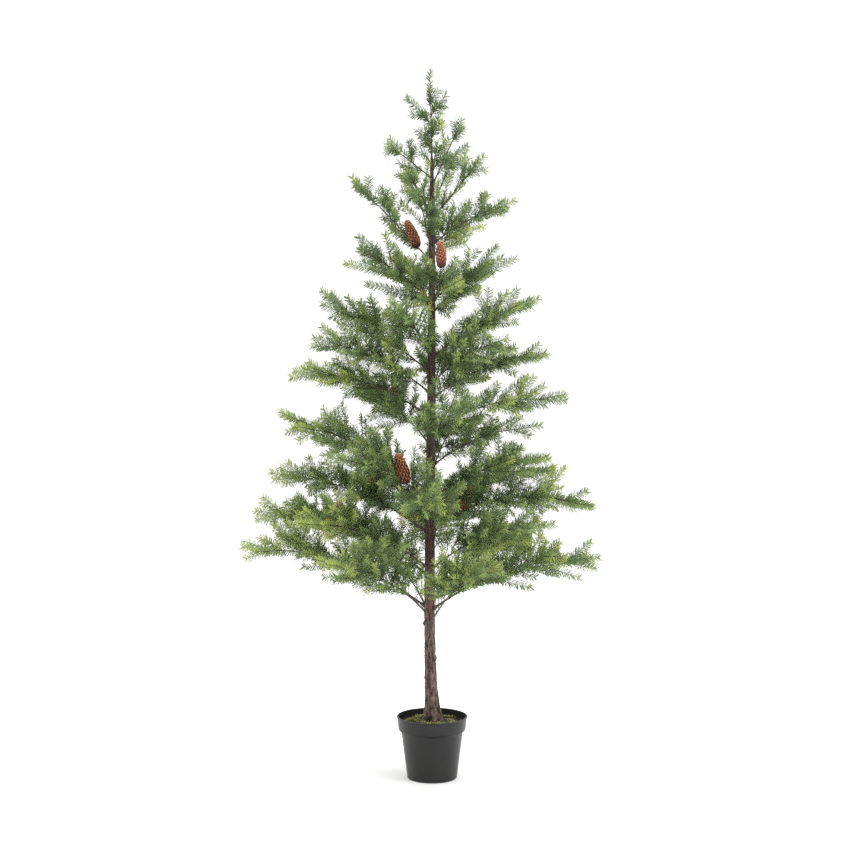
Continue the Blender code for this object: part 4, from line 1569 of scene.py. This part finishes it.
for tone, (name, hex_colour) in enumerate(TONES):
    green, _, green_shader = new_material(name, NEEDLE_ROUGHNESS, POLYETHYLENE_IOR)
    green_shader.inputs["Specular IOR Level"].default_value = NEEDLE_SPECULAR
    green_shader.inputs["Base Color"].default_value = linear(hex_colour)
    chosen = all_needles[all_tones == tone]
    parts = max(1, math.ceil(len(chosen) / NEEDLES_A_PIECE))
    for part, needles in enumerate(np.array_split(chosen, parts)):
        piece = joined_needles(f"{name}_{part + 1}", needles)
        hand_over(piece, green, "needles", *foliage_nodes)

# %% [markdown]
# ## Cones
# A spruce cone is a spindle of thin woody scales that overlap like tiles, each a rounded shield that
# is hollow inside and lifts at its edge. One scale is modelled, from a small grid that is bent into a
# shield and given a thickness. Copies are then set up the spindle in the spiral that real scales
# follow, larger in the middle and closed at the tip.

# %% Model one scale
SCALE_CUTS = 4
SCALE_THICKNESS = 0.055
SCALE_CUP = 0.30
SCALE_LIFT = 0.22

bpy.ops.object.select_all(action="DESELECT")
bpy.ops.mesh.primitive_grid_add(x_subdivisions=SCALE_CUTS, y_subdivisions=SCALE_CUTS, size=1.0)
scale = start_piece("cone_scale")
shield = bmesh.from_edit_mesh(scale.data)
for vertex in shield.verts:
    x, y = vertex.co.x, vertex.co.y + 0.5
    vertex.co.x = x * (0.55 + 0.75 * math.sin(math.pi * (0.16 + 0.62 * y)))
    vertex.co.y = y - 0.45 * x * x * (1.0 if y > 0.5 else 0.0)
    vertex.co.z = SCALE_LIFT * y * y - SCALE_CUP * x * x * 4.0 * 0.5
bmesh.update_edit_mesh(scale.data)
bpy.ops.object.mode_set(mode="OBJECT")
solidify = scale.modifiers.new("Thickness", "SOLIDIFY")
solidify.thickness = SCALE_THICKNESS
bpy.ops.object.modifier_apply(modifier=solidify.name)
scale_points = np.array([vertex.co for vertex in scale.data.vertices])
scale_faces = [tuple(face.vertices) for face in scale.data.polygons]
bpy.data.objects.remove(scale)
print("one scale has", len(scale_faces), "faces")

# %% Set the scales in a spiral
SCALES = 84
SCALE_LENGTH = 0.23
SEAT_DEPTH = 0.38
CORE_SHARE = 0.55
CORE_SIDES = 8


def cone_profile(share):
    """The cone's width at a share of its length, 1 at its widest."""
    return math.sin(math.pi * min(1.0, 0.10 + 0.90 * share) ** 0.80) ** 0.62


cone_forms = Heap()
for carrier, rows in cones.items():
    for row in rows:
        foot, tip, half_width = cone_axis(boughs[carrier], *row)
        axis = (tip - foot).normalized()
        length = (tip - foot).length
        turn_to = UP.rotation_difference(axis).to_matrix()
        core_shares = [i / 8 for i in range(9)]
        core_line = [foot + axis * length * share for share in core_shares]
        core_radii = [max(0.001, CORE_SHARE * half_width * cone_profile(share)) for share in core_shares]
        points, faces = swept(core_line, core_radii, CORE_SIDES)
        cone_forms.add(points, faces)
        for index in range(SCALES):
            share = (index + 0.5) / SCALES
            width = cone_profile(share)
            size = SCALE_LENGTH * length * (0.55 + 0.45 * width)
            spin = Matrix.Rotation(math.radians(GOLDEN_ANGLE * index), 3, UP)
            pitch = math.radians(62.0 + 16.0 * share)
            stand = Matrix.Rotation(pitch, 3, Vector((1.0, 0.0, 0.0)))
            seat = Vector((0.0, SEAT_DEPTH * half_width * width, 0.92 * length * share - 0.10 * size))
            place = turn_to @ spin
            matrix = np.array(place @ stand) * size
            shift = np.array(foot + place @ seat)
            placed = scale_points @ matrix.T + shift
            # How far out along its scale a point lies, for painted shade near the base and a lighter edge.
            edge = np.clip(scale_points[:, 1], 0.0, 1.0)
            cone_forms.add(placed, scale_faces, edge)
cone_piece = cone_forms.piece("cones")
cone_piece.data.shade_smooth()

# %% [markdown]
# Cone scales are red-brown. Each scale keeps how near a point is to its edge, and the colour follows that, broken
# up by fine streaks: darker towards the base, where it tucks under its neighbours, which is painted shade, and tan
# along the edge, which is partly the scale's own tan and partly painted light.

# %% Cone scales' colour
cone_wood, cone_tree, cone_shader = new_material("cone_scales", 0.55)
cone_place = add_node(cone_tree, "ShaderNodeTexCoord")
cone_edge = add_node(cone_tree, "ShaderNodeAttribute", {"attribute_name": ATTRIBUTE})
cone_streaks = add_node(
    cone_tree,
    "ShaderNodeTexNoise",
    {"Scale": 420.0, "Detail": 4.0},
    {"Vector": cone_place.outputs["Object"]},
)
cone_mix = add_node(
    cone_tree,
    "ShaderNodeMath",
    {"operation": "MULTIPLY_ADD", 1: 0.35},
    {0: cone_streaks.outputs["Fac"], 2: cone_edge.outputs["Fac"]},
)
cone_colour = add_node(cone_tree, "ShaderNodeValToRGB", links={"Fac": cone_mix.outputs["Value"]})
set_ramp(cone_colour, ((0.20, "#27110A"), (0.60, "#603020"), (0.92, "#965530"), (1.0, "#C8935F")))
cone_tree.links.new(cone_colour.outputs["Color"], cone_shader.inputs["Base Color"])
hand_over(cone_piece, cone_wood, "twig_bark")

# %% [markdown]
# ## Moss tufts
# Dyed sheet moss is made of threads in small cushions, bright yellow-green on top. Each cushion is a
# few dozen short threads that spread from one spot of the bed. A thread is finer than a needle, and
# four points and four faces are enough for it.

# %% Stand tufts on the bed
CUSHIONS = 330
THREADS = 26
THREAD_LENGTH = (0.0035, 0.0080)
THREAD_WIDTH = 0.0010
CUSHION_SIZE = 0.0050
BED_INSIDE = 0.0300
BED_OUTSIDE = 0.0820
MOSS_TONES = (
    ("moss_threads_olive", "#737348"),
    ("moss_threads_lime", "#A9AD6C"),
    ("moss_threads_dark", "#3D4024"),
)
BARE_PATCH = 0.24
THREAD_FACES = np.array(((0, 2, 1), (3, 1, 2), (0, 1, 3), (0, 3, 2)))

moss_rng = random.Random(7)
threads = {name: [] for name, _ in MOSS_TONES}
dome_radii = [radius for radius, _ in reversed(DOME_RINGS)]
dome_heights = [height for _, height in reversed(DOME_RINGS)]
for cushion in range(CUSHIONS):
    reach = math.sqrt(moss_rng.uniform(BED_INSIDE**2, BED_OUTSIDE**2))
    turn = moss_rng.uniform(0.0, math.tau)
    middle = Vector((reach * math.cos(turn), reach * math.sin(turn), 0.0))
    patch = noise.noise(middle / 0.022)
    if patch < -BARE_PATCH:
        continue
    tone = MOSS_TONES[1 if patch > 0.05 else moss_rng.choice((0, 0, 2))][0]
    for thread in range(THREADS):
        spread = Vector((moss_rng.gauss(0.0, 1.0), moss_rng.gauss(0.0, 1.0), 0.0))
        spot = middle + spread * CUSHION_SIZE * 0.5
        beside = math.hypot(spot.x, spot.y)
        if not BED_INSIDE - 0.004 < beside < BED_OUTSIDE:
            continue
        spot.z = float(np.interp(beside, dome_radii, dome_heights)) + moss_height(spot.x, spot.y) - 0.0006
        way = (UP + 0.9 * spread + 0.4 * Vector((moss_rng.gauss(0, 1), moss_rng.gauss(0, 1), 0))).normalized()
        across = way.cross(Vector((moss_rng.gauss(0, 1), moss_rng.gauss(0, 1), 0.3))).normalized()
        length = moss_rng.uniform(*THREAD_LENGTH)
        waist = spot + way * 0.5 * length + way.cross(across) * THREAD_WIDTH * 0.4
        half = across * THREAD_WIDTH * 0.5
        threads[tone].append((spot, waist - half, waist + half, spot + way * length))

for name, hex_colour in MOSS_TONES:
    thread_dye, _, thread_shader = new_material(name, 0.9)
    thread_shader.inputs["Base Color"].default_value = linear(hex_colour)
    corners = np.array(threads[name]).reshape(-1, 3)
    starts = 4 * np.arange(len(threads[name]))
    faces = (starts[:, None, None] + THREAD_FACES).reshape(-1, 3)
    mesh = bpy.data.meshes.new(name)
    mesh.from_pydata(corners.tolist(), [], faces.tolist())
    tuft_piece = bpy.data.objects.new(name, mesh)
    bpy.context.scene.collection.objects.link(tuft_piece)
    hand_over(tuft_piece, thread_dye, "moss", "pot_filler")
